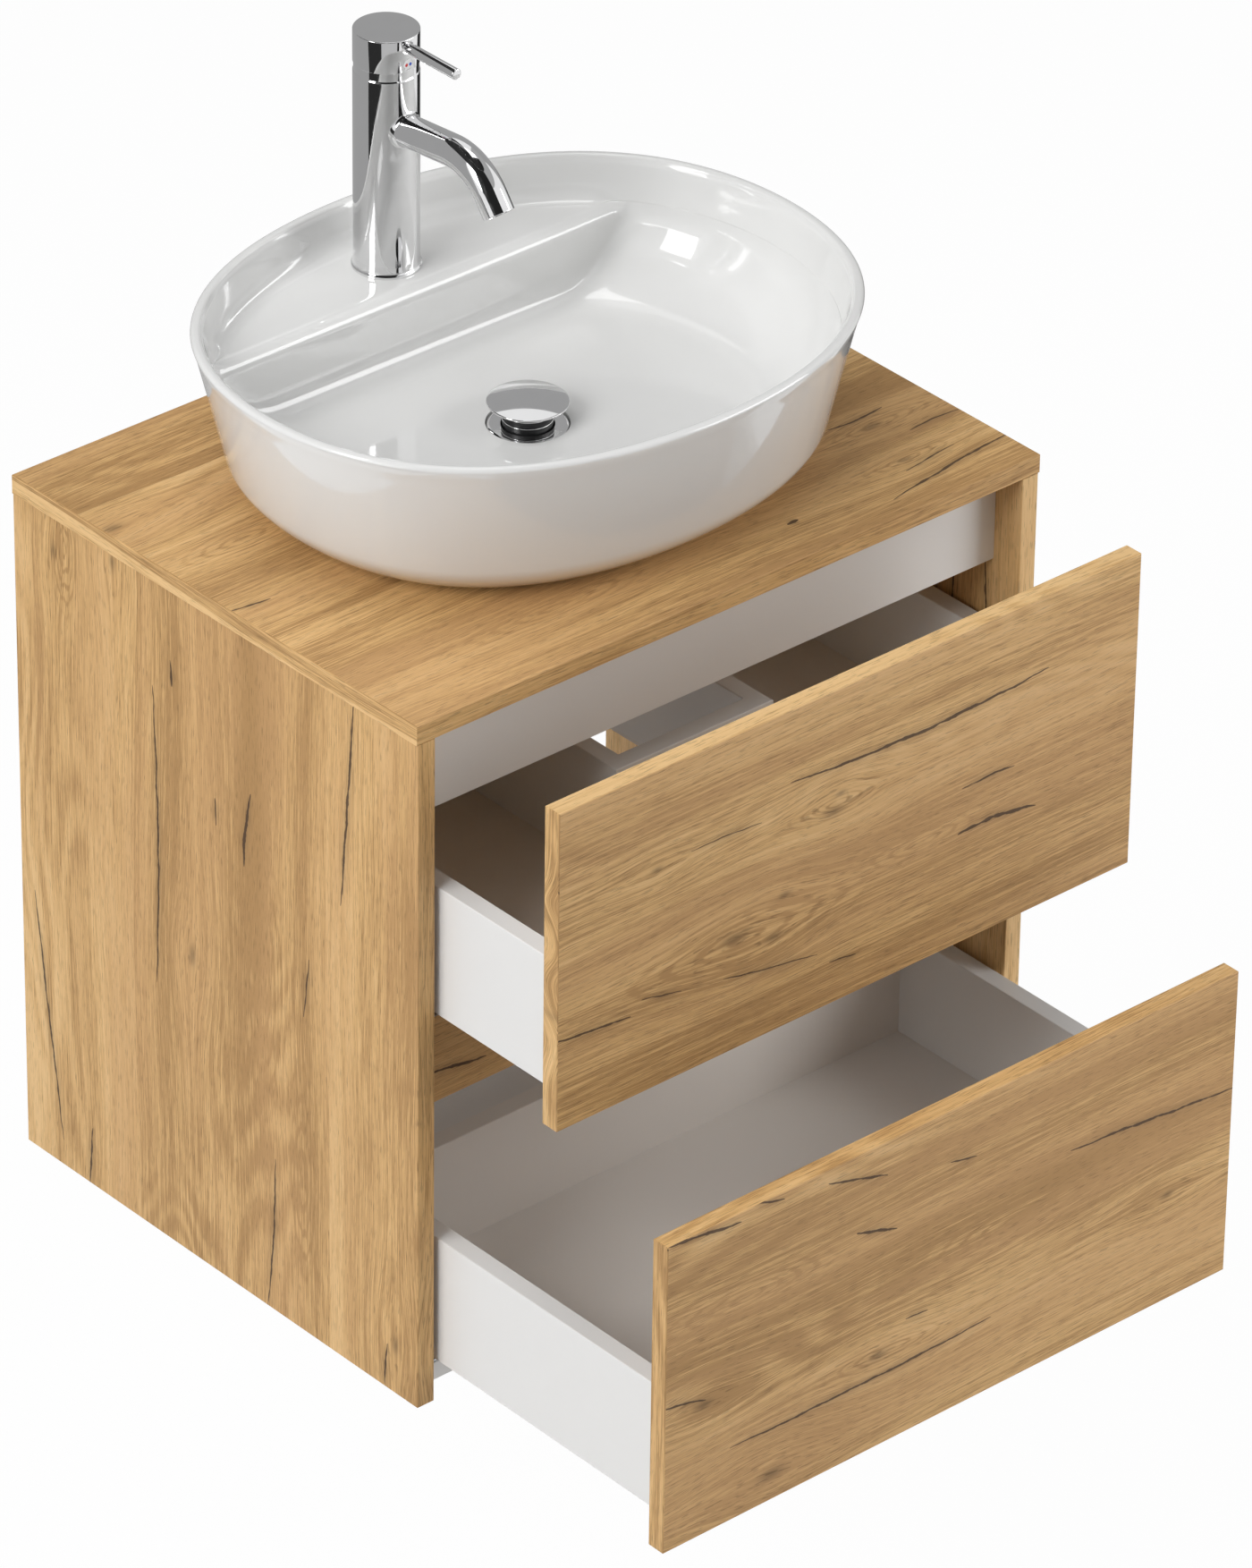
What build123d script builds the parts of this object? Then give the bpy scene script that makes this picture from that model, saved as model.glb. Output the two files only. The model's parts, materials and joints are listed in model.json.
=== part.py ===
from build123d import *

import os
from math import copysign, cos, pi, radians, sin, sqrt

os.makedirs("parts", exist_ok=True)

# Wall-hung washbasin unit: an oval vessel basin with a mixer tap and a push-button waste, standing on
# an oak-faced cabinet with two drawers on undermount runners, the upper one cut out for the trap.
# Frame: X to the right, Y towards the wall, which is the plane y = 0, and Z up. The origin is the centre
# of the four holes that hold the two wall plates. The drawers stand part of the way out.

# ---------------------------------------------------------------- cabinet
width = 600.0  # countertop, side to side
depth = 462.0  # wall to the front edges of the countertop and the side panels
cabinet_height = 588.0  # countertop's upper face to the lower edges of the side panels
bolt_drop = 66.0  # countertop's upper face above the centre of the wall bolts
board = 16.0  # every panel, rail and drawer side
top_overhang = 1.0  # countertop beyond each side panel
edge_ease = 0.6  # small chamfer of the edge bands that a hand meets

rail_height = 80.0
rail_setback = 28.0  # front faces of both front rails behind the panels' front edges
middle_rail_rise = 16.0  # upper edge of the middle rail above the upper front's lower edge
bottom_setback = 20.0  # front edge of the bottom panel
pipe_space = 82.0  # between the bottom panel and the wall
rear_rail_setback = 20.0  # rear face of the rear rail in front of the wall

# ---------------------------------------------------------------- drawer fronts and boxes
front_side_gap = 3.0
front_top_gap = 2.0
finger_gap = 36.0  # between the two fronts
runner_clearance = 3.0  # between the lower runners and the bottom panel
side_drop = 126.0  # upper edges of the drawer sides below the front's upper edge
side_gap = 5.0  # cabinet side to drawer side
box_behind = 101.0  # between a closed drawer and the wall
floor_thickness = 3.0
floor_recess = 12.5  # underside of the floor above the lower edges of the drawer sides
groove_depth = 6.0
groove_play = 0.1
upper_out = 131.0  # how far each drawer stands open
lower_out = 252.0

well_width = 121.0  # clear width of the cut-out for the trap
well_start = 172.0  # rear face of the well's front wall behind the drawer front

# ---------------------------------------------------------------- runners
gauge = 1.5  # sheet steel of the runner members
runner_setback = 2.0  # behind the drawer front's rear face when shut
runner_behind = 94.0  # between the fixed members and the wall
flange_height = 26.0
flange_drop = 14.0  # foot of the flange below the drawer side's lower edge
carrier_gap = 2.0  # drawer side to the drawer member
rib_width = 14.0
rib_top = 3.0  # above the drawer side's lower edge
nest_side = 2.0  # free space between nested members, at each side
middle_top = 7.5
middle_setback = 4.0  # front end of the middle member behind the fixed member's, when shut
middle_short = 30.0  # how much shorter the middle member is than the fixed one
middle_foot = -9.0
carrier_foot = -6.0  # lower edges of the drawer member
glide_gap = 0.3
glide_length = 40.0
glide_width = 8.0
glide_inset = 6.0  # from the middle member's ends
hook_reach = 4.0  # rear end of the drawer member beyond the drawer's back
hook_width = 14.0
hook_rise = 16.0
carrier_setback = 1.0  # front end of the drawer member behind the drawer front
hook_pin_radius = 2.5
hook_pin_length = 9.0
hook_pin_height = 10.0
hook_pin_room = 1.0  # beyond the pin's tip
clip_size = (26.0, 38.0, 14.0)
clip_wall = 4.0
clip_tongue = (12.0, 4.0, 3.0)  # width, start behind the clip's front and drop below it
screw_radius = 1.9
screw_head_radius = 3.6
screw_head = 1.6
screw_length = 13.0
screw_rise = 4.0  # above the middle of the fixed member's flange
screw_shares = (0.12, 0.85)  # of the fixed member's length, from its front

# ---------------------------------------------------------------- panel fastenings
cam_radius = 7.5
cam_depth = 12.5
cam_inset = 34.0  # cam centre from the panel's end
cam_slot = 1.5  # width and depth of the screwdriver slot
cam_slot_length = 11.0
bottom_cam_shares = (0.15, 0.85)  # of the bottom panel's depth
bolt_radius = 3.0
bolt_bite = 11.0  # how far the cam bolt enters the side panel
bolt_short = 1.0  # its head ends this far in front of the cam's centre
dowel_radius = 4.0
dowel_length = 28.0
dowel_cover = 3.0  # wood left beyond a dowel in the face of a panel
top_dowel_inset = 60.0  # from the front edge and from the wall
fastening_play = 0.1
joint_edge = 20.0  # cams and dowels of a rail from its upper and lower edges

# ---------------------------------------------------------------- wall hangers
plate_thickness = 2.0
plate_width = 44.0
plate_lip = 8.0  # height of the raised lip that the hook drops behind
plate_offset = 6.0  # lip's rear face in front of the wall
plate_inset = 33.0  # bolt holes from the cabinet side
bolt_spacing_z = 32.0
wall_bolt_radius = 3.5
bolt_edge = 3.0  # metal between a bolt hole and the bend
hanger_behind = 9.0  # between the hanger and the wall
hanger_width = 14.0
hanger_depth = 62.0
hanger_height = 50.0
hanger_clearance = 3.0  # to the countertop above and the rear rail below
hanger_round = 4.0
hanger_screw_edge = 12.0  # screw centres from the hanger's upper and lower faces
hook_thickness = 3.0
hook_play = 0.4
hook_tooth = 3.1
hook_depth = 6.0  # how far the tooth reaches down behind the lip
hook_height = 10.0  # above the lip
screw_pocket = 6.0  # depth of a hanger screw's bore
screw_head_length = 4.5
driver_cross = (1.1, 4.4, 1.5)  # arm width, arm length and depth

# ---------------------------------------------------------------- basin
basin_half_width = 255.0
basin_half_depth = 215.0
basin_height = 133.5
basin_behind = 16.0  # between the rim and the wall
squareness = 2.21  # exponent of the oval, 2 for an ellipse
side_taper = 0.245  # how fast the wall leans in, left and right
end_taper = 0.21  # the same at the front and the back
foot_tuck = 31.0  # extra inset of the foot
foot_round = 35.0  # height over which the wall rounds under
basin_wall = 8.0
bowl_floor = 37.5  # above the countertop
bowl_tuck = 34.0
bowl_round = 46.0
dish_radius = 95.0
dish_drop = 2.5
floor_ceramic = 13.0
deck_drop = 33.5  # tap deck below the rim
deck_depth = 96.0  # front face of the tap deck in front of the rim's rearmost point
deck_ceramic = 10.0
deck_edge_radius = 7.0
deck_root_radius = 14.0
rim_round = 3.4

# ---------------------------------------------------------------- tap
tap_inset = 53.5  # tap axis in front of the rim's rearmost point
tap_radius = 25.0
tap_hole_radius = 17.5
hose_hole_radius = 20.0  # in the countertop, for the tap's hoses
hose_hole_inset = 36.5  # in front of the tap's axis, within the basin's foot
seam_height = 157.7  # above the deck
head_height = 38.7
seam_gap = 0.4
body_edge = 0.6  # chamfer of the body's upper edge
head_edges = (0.5, 0.3)  # chamfers of the head's upper and lower edges
pivot_drop = 12.0  # lift pivot below the seam
dome_clearance = 0.3
dome_land = 0.6  # flat rim of the domed ring
base_ring_flare = 1.6
base_ring_height = 9.0
base_ring_wall = (0.5, 0.1)  # halfway up and at the top
spout_radius = 12.4
spout_height = 119.2  # where its line crosses the tap axis
spout_rise = 5.0  # degrees
spout_fall = 52.0
spout_corner = 101.6  # where the two straight lines meet, in front of the tap axis
spout_end = 42.6  # from there to the outlet
spout_bend = 50.0
spout_root = 4.0  # fillet between the spout and the body
spout_bore = 10.9
spout_seat = 3.0  # depth of the bore beyond the aerator
aerator_length = 9.0
aerator_inset = 0.8
aerator_rim = (2.0, 1.6)  # width and height of its rim
cartridge_radius = 17.5
cartridge_height = 40.0
cartridge_proud = 6.0  # above the seam
turret_radius = 13.4
turret_fit = 0.05
turret_below = 6.0
turret_above = 9.0
turret_floor = 0.8
turret_play = 0.2  # round the spindle and under the turret
spindle_width = 7.0
spindle_tail = 4.5
spindle_top = 38.0  # above the pivot
spindle_ease = 1.2  # chamfer of its foot
trunnion_radius = 1.5
trunnion_fit = 0.05
trunnion_inset = 1.0
dome_mouth = 14.5
lever_height = 32.1  # above the seam
lever_radius = 4.3
lever_reach = 80.0  # tip in front of the tap axis
lever_neck_radius = 2.8
lever_neck = 3.0
lever_edge = 1.0
lever_recess = (5.3, 2.2)  # radius and depth of the dimple round the neck
lever_bore = 12.0
lever_root = 11.5  # length of the neck inside the head
lever_core = 5.0  # start of the neck's bar behind the tip
indicator_height = 18.2
indicator_size = (4.1, 4.0)  # radius and thickness
indicator_seat = 4.2
indicator_inset = 0.2
indicator_edge = 0.6
grub_radius = 2.5
grub_length = 10.0
grub_socket = (2.4, 2.0)  # width and depth
inlet_radius = 4.5
inlet_spacing = 18.0
inlet_back = 4.0
inlet_depth = 14.0
stud_radius = 4.0
stud_forward = 9.0
stud_length = 62.0
washer_thickness = 3.0
washer_radius = 24.0
washer_mouth = 1.0  # room beside each hose
nut_height = 7.0
nut_radius = 7.2  # to its corners

# ---------------------------------------------------------------- waste
waste_thread_radius = 20.95  # G 1 1/4, for the trap
body_thread_radius = 21.7  # the backnut's thread
waste_bore = 18.3
flange_radius = 30.5
flange_thickness = 2.2
flange_edge = 1.0  # height of the flange's outer edge
flange_rise = 0.2  # above the lowest part of the bowl
flange_play = 0.6  # round the flange in its recess
cup_radius = 22.4
cup_bore = 19.8
cup_depth = 20.0
cup_foot = 4.0  # metal below the cup's floor
thread_lead = 1.0  # chamfer at the thread's end
waste_hole_radius = 23.0
tail_length = 32.0  # free thread below the backnut
tail_shoulder = 2.0  # backnut's lower face to the shoulder above the free thread
seal_thickness = 1.5
backnut_radius = 30.0
backnut_height = 9.0
backnut_ease = 1.5  # chamfer of its six corners
seal_margin = 1.0  # lower seal beyond the backnut's corners
cap_radius = 30.8
cap_edge = 2.4
cap_dome = 3.2
cap_lift = 16.3  # underside of the raised cap above the flange
stem_radius = 19.3
stem_length = 30.0
plug_ring_height = 0.9
plug_ring_places = (0.28, 0.62)  # shares of the lift, from the flange up
plug_ring_groove = 0.8
cap_bevel = (3.0, 1.2)  # width and height of the bevel below the cap's edge
stem_drop = 2.0  # wide part of the stem below the flange
stem_play = 0.4  # narrow part of the stem in the tail's bore

# ---------------------------------------------------------------- derived places
half = width / 2
side_outer = half - top_overhang
side_inner = side_outer - board
front_y = -depth
top_z = bolt_drop
under_z = top_z - board  # countertop's underside
foot_z = top_z - cabinet_height
hanger_foot = under_z - hanger_clearance - hanger_height

hanger_top = hanger_foot + hanger_height

front_half = side_inner - front_side_gap
front_height = (cabinet_height - board - front_top_gap - finger_gap) / 2
upper_front_foot = under_z - front_top_gap - front_height
lower_front_foot = foot_z
box_outer = side_inner - side_gap
box_inner = box_outer - board
box_length = depth - board - box_behind
side_rise = board + runner_clearance + flange_drop  # drawer sides' lower edges above the front's
side_height = front_height - side_rise - side_drop
well_outer = well_width / 2 + board

drawers = {  # lower edge of the drawer sides, and how far the drawer stands open
    "upper": (upper_front_foot + side_rise, upper_out),
    "lower": (lower_front_foot + side_rise, lower_out),
}
runner_front = front_y + board + runner_setback
runner_length = -runner_behind - runner_front
runner_screw_ys = [runner_front + share * runner_length for share in screw_shares]
runner_screw_rise = flange_height / 2 - flange_drop + screw_rise
runner_screw_places = [
    (screw_y, base_z + runner_screw_rise) for base_z, _ in drawers.values() for screw_y in runner_screw_ys
]

basin_y = -basin_behind - basin_half_depth
deck_face_y = -basin_behind - deck_depth
tap_y = -basin_behind - tap_inset
deck_height = basin_height - deck_drop
deck_z = top_z + deck_height
seam_z = deck_z + seam_height
pivot_z = seam_z - pivot_drop
dome_radius = sqrt(tap_radius**2 + pivot_drop**2)
flange_z = top_z + bowl_floor - dish_drop + flange_rise
washer_z = deck_z - deck_ceramic


def slab(x, y, z, mode=Mode.ADD):
    """Adds or cuts a straight board between the limits (low, high) along each axis."""
    with Locations(((x[0] + x[1]) / 2, (y[0] + y[1]) / 2, (z[0] + z[1]) / 2)):
        Box(x[1] - x[0], y[1] - y[0], z[1] - z[0], mode=mode)


def rod(start, axis, radius, length, mode=Mode.ADD):
    """Adds or cuts a round bar that starts at a point and runs along an axis."""
    with BuildSketch(Plane(origin=start, z_dir=axis), mode=Mode.PRIVATE) as end:
        Circle(radius)
    extrude(end.sketch, amount=length, mode=mode)


def lathe_plane(y):
    """Plane of a turned piece's half profile: radius across and height up, about a vertical axis at y."""
    return Plane(origin=(0, y, 0), x_dir=(1, 0, 0), z_dir=(0, -1, 0))


def save(builder, label):
    """Labels a finished piece and writes it under its own name."""
    builder.part.label = label
    export_step(builder.part, f"parts/{label}.step")


# ---------------------------------------------------------------- panels
# Each rail or panel meets both side panels in cams and dowels: (y, z) of the two, seen at the side.
rear_rail_y = -rear_rail_setback - board
front_rail_y = front_y + rail_setback
middle_rail_z = upper_front_foot + middle_rail_rise
bottom_y = front_y + bottom_setback
bottom_depth = -pipe_space - bottom_y
rail_joints = {
    "top_front_rail": (front_rail_y, under_z - rail_height),
    "middle_rail": (front_rail_y, middle_rail_z - rail_height),
    "rear_rail": (rear_rail_y, hanger_foot - hanger_clearance - rail_height),
}
cam_places = []  # y, z and the direction that the cam's face looks
dowel_places = []
for rail_y, rail_foot in rail_joints.values():
    cam_places.append((rail_y + board / 2, rail_foot + rail_height - joint_edge, (0, 1, 0)))
    dowel_places.append((rail_y + board / 2, rail_foot + joint_edge))
for share in bottom_cam_shares:
    cam_places.append((bottom_y + share * bottom_depth, foot_z + board / 2, (0, 0, -1)))
dowel_places.append((bottom_y + bottom_depth / 2, foot_z + board / 2))
top_dowel_ys = (front_y + top_dowel_inset, -top_dowel_inset)
face_bite = board - dowel_cover  # how far a dowel enters a panel's face
end_bite = dowel_length - face_bite


def cut_side_joints(end_x, side, cams, dowels):
    """Cuts the bores that one side's cam bolts and dowels need in the panel that ends at end_x."""
    for y, z, face in cams:
        rod((end_x, y, z), (-side, 0, 0), bolt_radius + fastening_play, cam_inset, Mode.SUBTRACT)
        mouth = Vector(end_x - side * cam_inset, y, z) + Vector(face) * board / 2
        rod(mouth, -Vector(face), cam_radius + fastening_play, cam_depth, Mode.SUBTRACT)
    for y, z in dowels:
        rod((end_x, y, z), (-side, 0, 0), dowel_radius, end_bite, Mode.SUBTRACT)


with BuildPart() as countertop:
    slab((-half, half), (front_y, 0), (under_z, top_z))
    chamfer(countertop.faces().sort_by(Axis.Z)[-1].edges(), edge_ease)
    chamfer(countertop.faces().sort_by(Axis.Z)[0].edges().group_by(Axis.Y)[0], edge_ease)
    rod((0, basin_y, under_z), (0, 0, 1), waste_hole_radius, board, Mode.SUBTRACT)
    hose_hole_y = tap_y - hose_hole_inset
    rod((0, hose_hole_y, under_z), (0, 0, 1), hose_hole_radius, board, Mode.SUBTRACT)
    for side in (-1, 1):
        for dowel_y in top_dowel_ys:
            dowel_at = (side * (side_outer - board / 2), dowel_y, under_z)
            rod(dowel_at, (0, 0, 1), dowel_radius, face_bite, Mode.SUBTRACT)
save(countertop, "countertop")

for side, label in ((-1, "side_panel_left"), (1, "side_panel_right")):
    span = sorted((side * side_inner, side * side_outer))
    with BuildPart() as side_panel:
        slab(span, (front_y, 0), (foot_z, under_z))
        chamfer(side_panel.faces().sort_by(Axis.Y)[0].edges().filter_by(Axis.Z), edge_ease)
        chamfer(side_panel.faces().sort_by(Axis.Z)[0].edges(), edge_ease)
        for y, z, _ in cam_places:
            rod((side * side_inner, y, z), (side, 0, 0), bolt_radius, bolt_bite, Mode.SUBTRACT)
        for y, z in dowel_places:
            rod((side * side_inner, y, z), (side, 0, 0), dowel_radius, face_bite, Mode.SUBTRACT)
        for y, z in runner_screw_places:
            rod((side * side_inner, y, z), (side, 0, 0), screw_radius, screw_length - gauge, Mode.SUBTRACT)
        for dowel_y in top_dowel_ys:
            dowel_at = (side * (side_outer - board / 2), dowel_y, under_z)
            rod(dowel_at, (0, 0, -1), dowel_radius, end_bite, Mode.SUBTRACT)
    save(side_panel, label)

for index, (label, (rail_y, rail_foot)) in enumerate(rail_joints.items()):
    with BuildPart() as rail:
        slab((-side_inner, side_inner), (rail_y, rail_y + board), (rail_foot, rail_foot + rail_height))
        lower_edges = rail.faces().sort_by(Axis.Z)[0].edges().filter_by(Axis.X)
        chamfer(lower_edges, edge_ease)
        for side in (-1, 1):
            places = (cam_places[index:index + 1], dowel_places[index:index + 1])
            cut_side_joints(side * side_inner, side, *places)
    save(rail, label)

with BuildPart() as bottom_panel:
    slab((-side_inner, side_inner), (bottom_y, bottom_y + bottom_depth), (foot_z, foot_z + board))
    chamfer(bottom_panel.faces().sort_by(Axis.Y)[0].edges().filter_by(Axis.X), edge_ease)
    for side in (-1, 1):
        cut_side_joints(side * side_inner, side, cam_places[len(rail_joints):],
                        dowel_places[len(rail_joints):])
save(bottom_panel, "bottom_panel")

# A cam is a disc with a screwdriver slot in its face and an open notch in its side, which takes the
# bolt's head; the bolt screws into the side panel.
notch = 2 * (bolt_radius + fastening_play)
with BuildPart() as cam_locks:
    for side in (-1, 1):
        for y, z, face in cam_places:
            centre = Vector(side * (side_inner - cam_inset), y, z)
            mouth = centre + Vector(face) * board / 2
            rod(mouth, -Vector(face), cam_radius, cam_depth)
            with Locations(centre + Vector(side * cam_radius / 2, 0, 0)):
                Box(cam_radius + bolt_radius, notch, notch, mode=Mode.SUBTRACT)
            with Locations(mouth - Vector(face) * cam_slot / 2):
                Box(cam_slot_length, cam_slot, cam_slot, mode=Mode.SUBTRACT)
save(cam_locks, "cam_locks")

with BuildPart() as cam_bolts:
    for side in (-1, 1):
        for y, z, _ in cam_places:
            tip = (side * (side_inner + bolt_bite), y, z)
            rod(tip, (-side, 0, 0), bolt_radius, bolt_bite + cam_inset - bolt_short)
save(cam_bolts, "cam_bolts")

with BuildPart() as panel_dowels:
    for side in (-1, 1):
        for y, z in dowel_places:
            start = (side * (side_inner + face_bite), y, z)
            rod(start, (-side, 0, 0), dowel_radius, dowel_length)
        for dowel_y in top_dowel_ys:
            start = (side * (side_outer - board / 2), dowel_y, under_z + face_bite)
            rod(start, (0, 0, -1), dowel_radius, dowel_length)
save(panel_dowels, "panel_dowels")

# ---------------------------------------------------------------- wall hangers
# A plate is screwed to the wall and its upper lip stands proud. The hanger in the cabinet's upper rear
# corner carries an arm whose tooth drops behind the lip.
plate_centre = side_inner - plate_inset
lip_foot = bolt_spacing_z / 2 + wall_bolt_radius + bolt_edge + plate_offset
lip_top = lip_foot + plate_lip
lip_rear = -plate_offset
lip_front = lip_rear - plate_thickness
bend = plate_thickness / 2

with BuildPart() as wall_plates:
    for side in (-1, 1):
        with BuildSketch(Plane.YZ.offset(side * plate_centre - plate_width / 2)) as fold:
            with BuildLine():
                Polyline(
                    (0, -lip_top), (0, lip_foot - plate_offset), (lip_rear, lip_foot), (lip_rear, lip_top),
                    (lip_front, lip_top), (lip_front, lip_foot + bend),
                    (-plate_thickness, lip_foot - plate_offset + bend), (-plate_thickness, -lip_top),
                    close=True,
                )
            make_face()
        extrude(amount=plate_width)
        for hole_z in (-bolt_spacing_z / 2, bolt_spacing_z / 2):
            hole_at = (side * plate_centre, 0, hole_z)
            rod(hole_at, (0, -1, 0), wall_bolt_radius, plate_thickness, Mode.SUBTRACT)
save(wall_plates, "wall_plates")

hanger_front = -hanger_behind - hanger_depth
hanger_screw_zs = (hanger_foot + hanger_screw_edge, hanger_top - hanger_screw_edge)
hanger_screw_x = side_inner - hanger_width / 2
with BuildPart() as wall_hangers:
    for side in (-1, 1):
        inner = side * (side_inner - hanger_width)
        slab(sorted((side * side_inner, inner)), (hanger_front, -hanger_behind), (hanger_foot, hanger_top))
        with BuildSketch(Plane.YZ.offset(min(inner, inner - side * hook_thickness))) as arm:
            tooth_rear = lip_rear + hook_play + hook_tooth
            arm_start = hanger_front + hanger_round
            with BuildLine():
                Polyline(
                    (arm_start, lip_foot), (arm_start, lip_top + hook_height),
                    (tooth_rear, lip_top + hook_height), (tooth_rear, lip_top - hook_depth),
                    (lip_rear + hook_play, lip_top - hook_depth), (lip_rear + hook_play, lip_top),
                    (lip_front - hook_play, lip_top), (lip_front - plate_lip, lip_foot), close=True,
                )
            make_face()
        extrude(amount=hook_thickness)
        for hole_z in hanger_screw_zs:
            hole_at = (side * hanger_screw_x, hanger_front, hole_z)
            rod(hole_at, (0, 1, 0), screw_head_radius, screw_pocket, Mode.SUBTRACT)
    fillet(wall_hangers.edges().filter_by(Axis.X).group_by(Axis.Y)[0], hanger_round)
save(wall_hangers, "wall_hangers")

# The upper screw of each hanger sets its height and the lower one its reach; both have a cross drive.
with BuildPart() as hanger_screws:
    for side in (-1, 1):
        for hole_z in hanger_screw_zs:
            start = Vector(side * hanger_screw_x, hanger_front + screw_pocket - screw_head_length, hole_z)
            rod(start, (0, 1, 0), screw_head_radius - fastening_play, screw_head_length)
            arm_width, arm_length, cross_depth = driver_cross
            with Locations(start + Vector(0, cross_depth / 2, 0)):
                Box(arm_length, cross_depth, arm_width, mode=Mode.SUBTRACT)
                Box(arm_width, cross_depth, arm_length, mode=Mode.SUBTRACT)
save(hanger_screws, "hanger_screws")


# ---------------------------------------------------------------- runners
# Seen from the front, each runner has three nested members of folded steel, open downwards. Offsets run
# from the cabinet side inwards and up from the lower edge of the drawer side.
carrier_top = floor_recess
rib_in = side_gap + board + carrier_gap + 2 * (nest_side + gauge)  # from the cabinet side to the rib
middle_in = rib_in - nest_side - gauge
middle_width = rib_width + 2 * (nest_side + gauge)
carrier_in = middle_in - nest_side - gauge
carrier_width = middle_width + 2 * (nest_side + gauge)


def inverted_channel(inset, channel_width, foot, top):
    """Outline of a folded channel that is open downwards: (inset, height) pairs."""
    far = inset + channel_width
    return [
        (inset, foot), (inset, top), (far, top), (far, foot), (far - gauge, foot),
        (far - gauge, top - gauge), (inset + gauge, top - gauge), (inset + gauge, foot),
    ]


def fixed_outline():
    """Outline of the fixed member: flange on the cabinet side, base and raised rib."""
    foot = -flange_drop
    far = rib_in + rib_width
    return [
        (0, foot), (0, foot + flange_height), (gauge, foot + flange_height), (gauge, foot + gauge),
        (rib_in, foot + gauge), (rib_in, rib_top), (far, rib_top), (far, foot), (far - gauge, foot),
        (far - gauge, rib_top - gauge), (rib_in + gauge, rib_top - gauge), (rib_in + gauge, foot),
    ]


def runner_member(outline, side, base_z, start_y, length):
    """Extrudes a member's outline along Y at the given side of the cabinet."""
    plane = Plane(origin=(side * side_inner, start_y, base_z), x_dir=(-side, 0, 0), z_dir=(0, side, 0))
    with BuildSketch(plane) as section:
        with BuildLine():
            Polyline(*outline, close=True)
        make_face()
    extrude(section.sketch, amount=side * length)


carrier_front = front_y + board + carrier_setback
middle_length = runner_length - middle_short
member_x = side_inner - rib_in - rib_width / 2  # middle of the nested members

for name, (base_z, out) in drawers.items():
    with BuildPart() as fixed:
        for side in (-1, 1):
            runner_member(fixed_outline(), side, base_z, runner_front, runner_length)
            for screw_y in runner_screw_ys:
                hole_at = (side * (side_inner - gauge), screw_y, base_z + runner_screw_rise)
                rod(hole_at, (side, 0, 0), screw_radius + fastening_play, gauge, Mode.SUBTRACT)
    save(fixed, f"{name}_runner_fixed")

    middle_start = runner_front + middle_setback - out / 2
    with BuildPart() as middle:
        for side in (-1, 1):
            outline = inverted_channel(middle_in, middle_width, middle_foot, middle_top)
            runner_member(outline, side, base_z, middle_start, middle_length)
    save(middle, f"{name}_runner_middle")

    # Nylon glides sit above and below the middle member's web, at its front and rear ends.
    with BuildPart() as glides:
        glide_rear = middle_start + middle_length - glide_length - glide_inset
        for side in (-1, 1):
            for glide_y in (middle_start + glide_inset, glide_rear):
                across = (side * member_x - glide_width / 2, side * member_x + glide_width / 2)
                along = (glide_y, glide_y + glide_length)
                slab(across, along, (base_z + rib_top + glide_gap, base_z + middle_top - gauge))
                slab(across, along, (base_z + middle_top, base_z + carrier_top - gauge - glide_gap))
    save(glides, f"{name}_runner_glides")

    box_end = front_y + board + box_length - out
    carrier_start = carrier_front - out
    carrier_end = box_end + hook_reach
    with BuildPart() as carrier:
        for side in (-1, 1):
            outline = inverted_channel(carrier_in, carrier_width, carrier_foot, carrier_top)
            runner_member(outline, side, base_z, carrier_start, carrier_end - carrier_start)
            floor_top = base_z + carrier_top + floor_thickness
            slab((side * member_x - hook_width / 2, side * member_x + hook_width / 2),
                 (carrier_end - gauge, carrier_end), (base_z + carrier_top - gauge, floor_top + hook_rise))
            pin_at = (side * member_x, carrier_end - gauge, floor_top + hook_pin_height)
            rod(pin_at, (0, -1, 0), hook_pin_radius, hook_pin_length)
    save(carrier, f"{name}_drawer_carriers")

with BuildPart() as runner_screws:
    for side in (-1, 1):
        for y, z in runner_screw_places:
            seat = (side * (side_inner - gauge), y, z)
            rod(seat, (-side, 0, 0), screw_head_radius, screw_head)
            rod(seat, (side, 0, 0), screw_radius, screw_length)
save(runner_screws, "runner_screws")


# ---------------------------------------------------------------- drawers
def cut_floor_groove(inner_x, side, y_span, base_z):
    """Cuts the groove that takes the floor's edge in a drawer side's inner face."""
    floor_z = base_z + floor_recess
    across = sorted((inner_x, inner_x + side * (groove_depth + groove_play)))
    slab(across, y_span, (floor_z - groove_play, floor_z + floor_thickness + groove_play), Mode.SUBTRACT)


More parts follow.
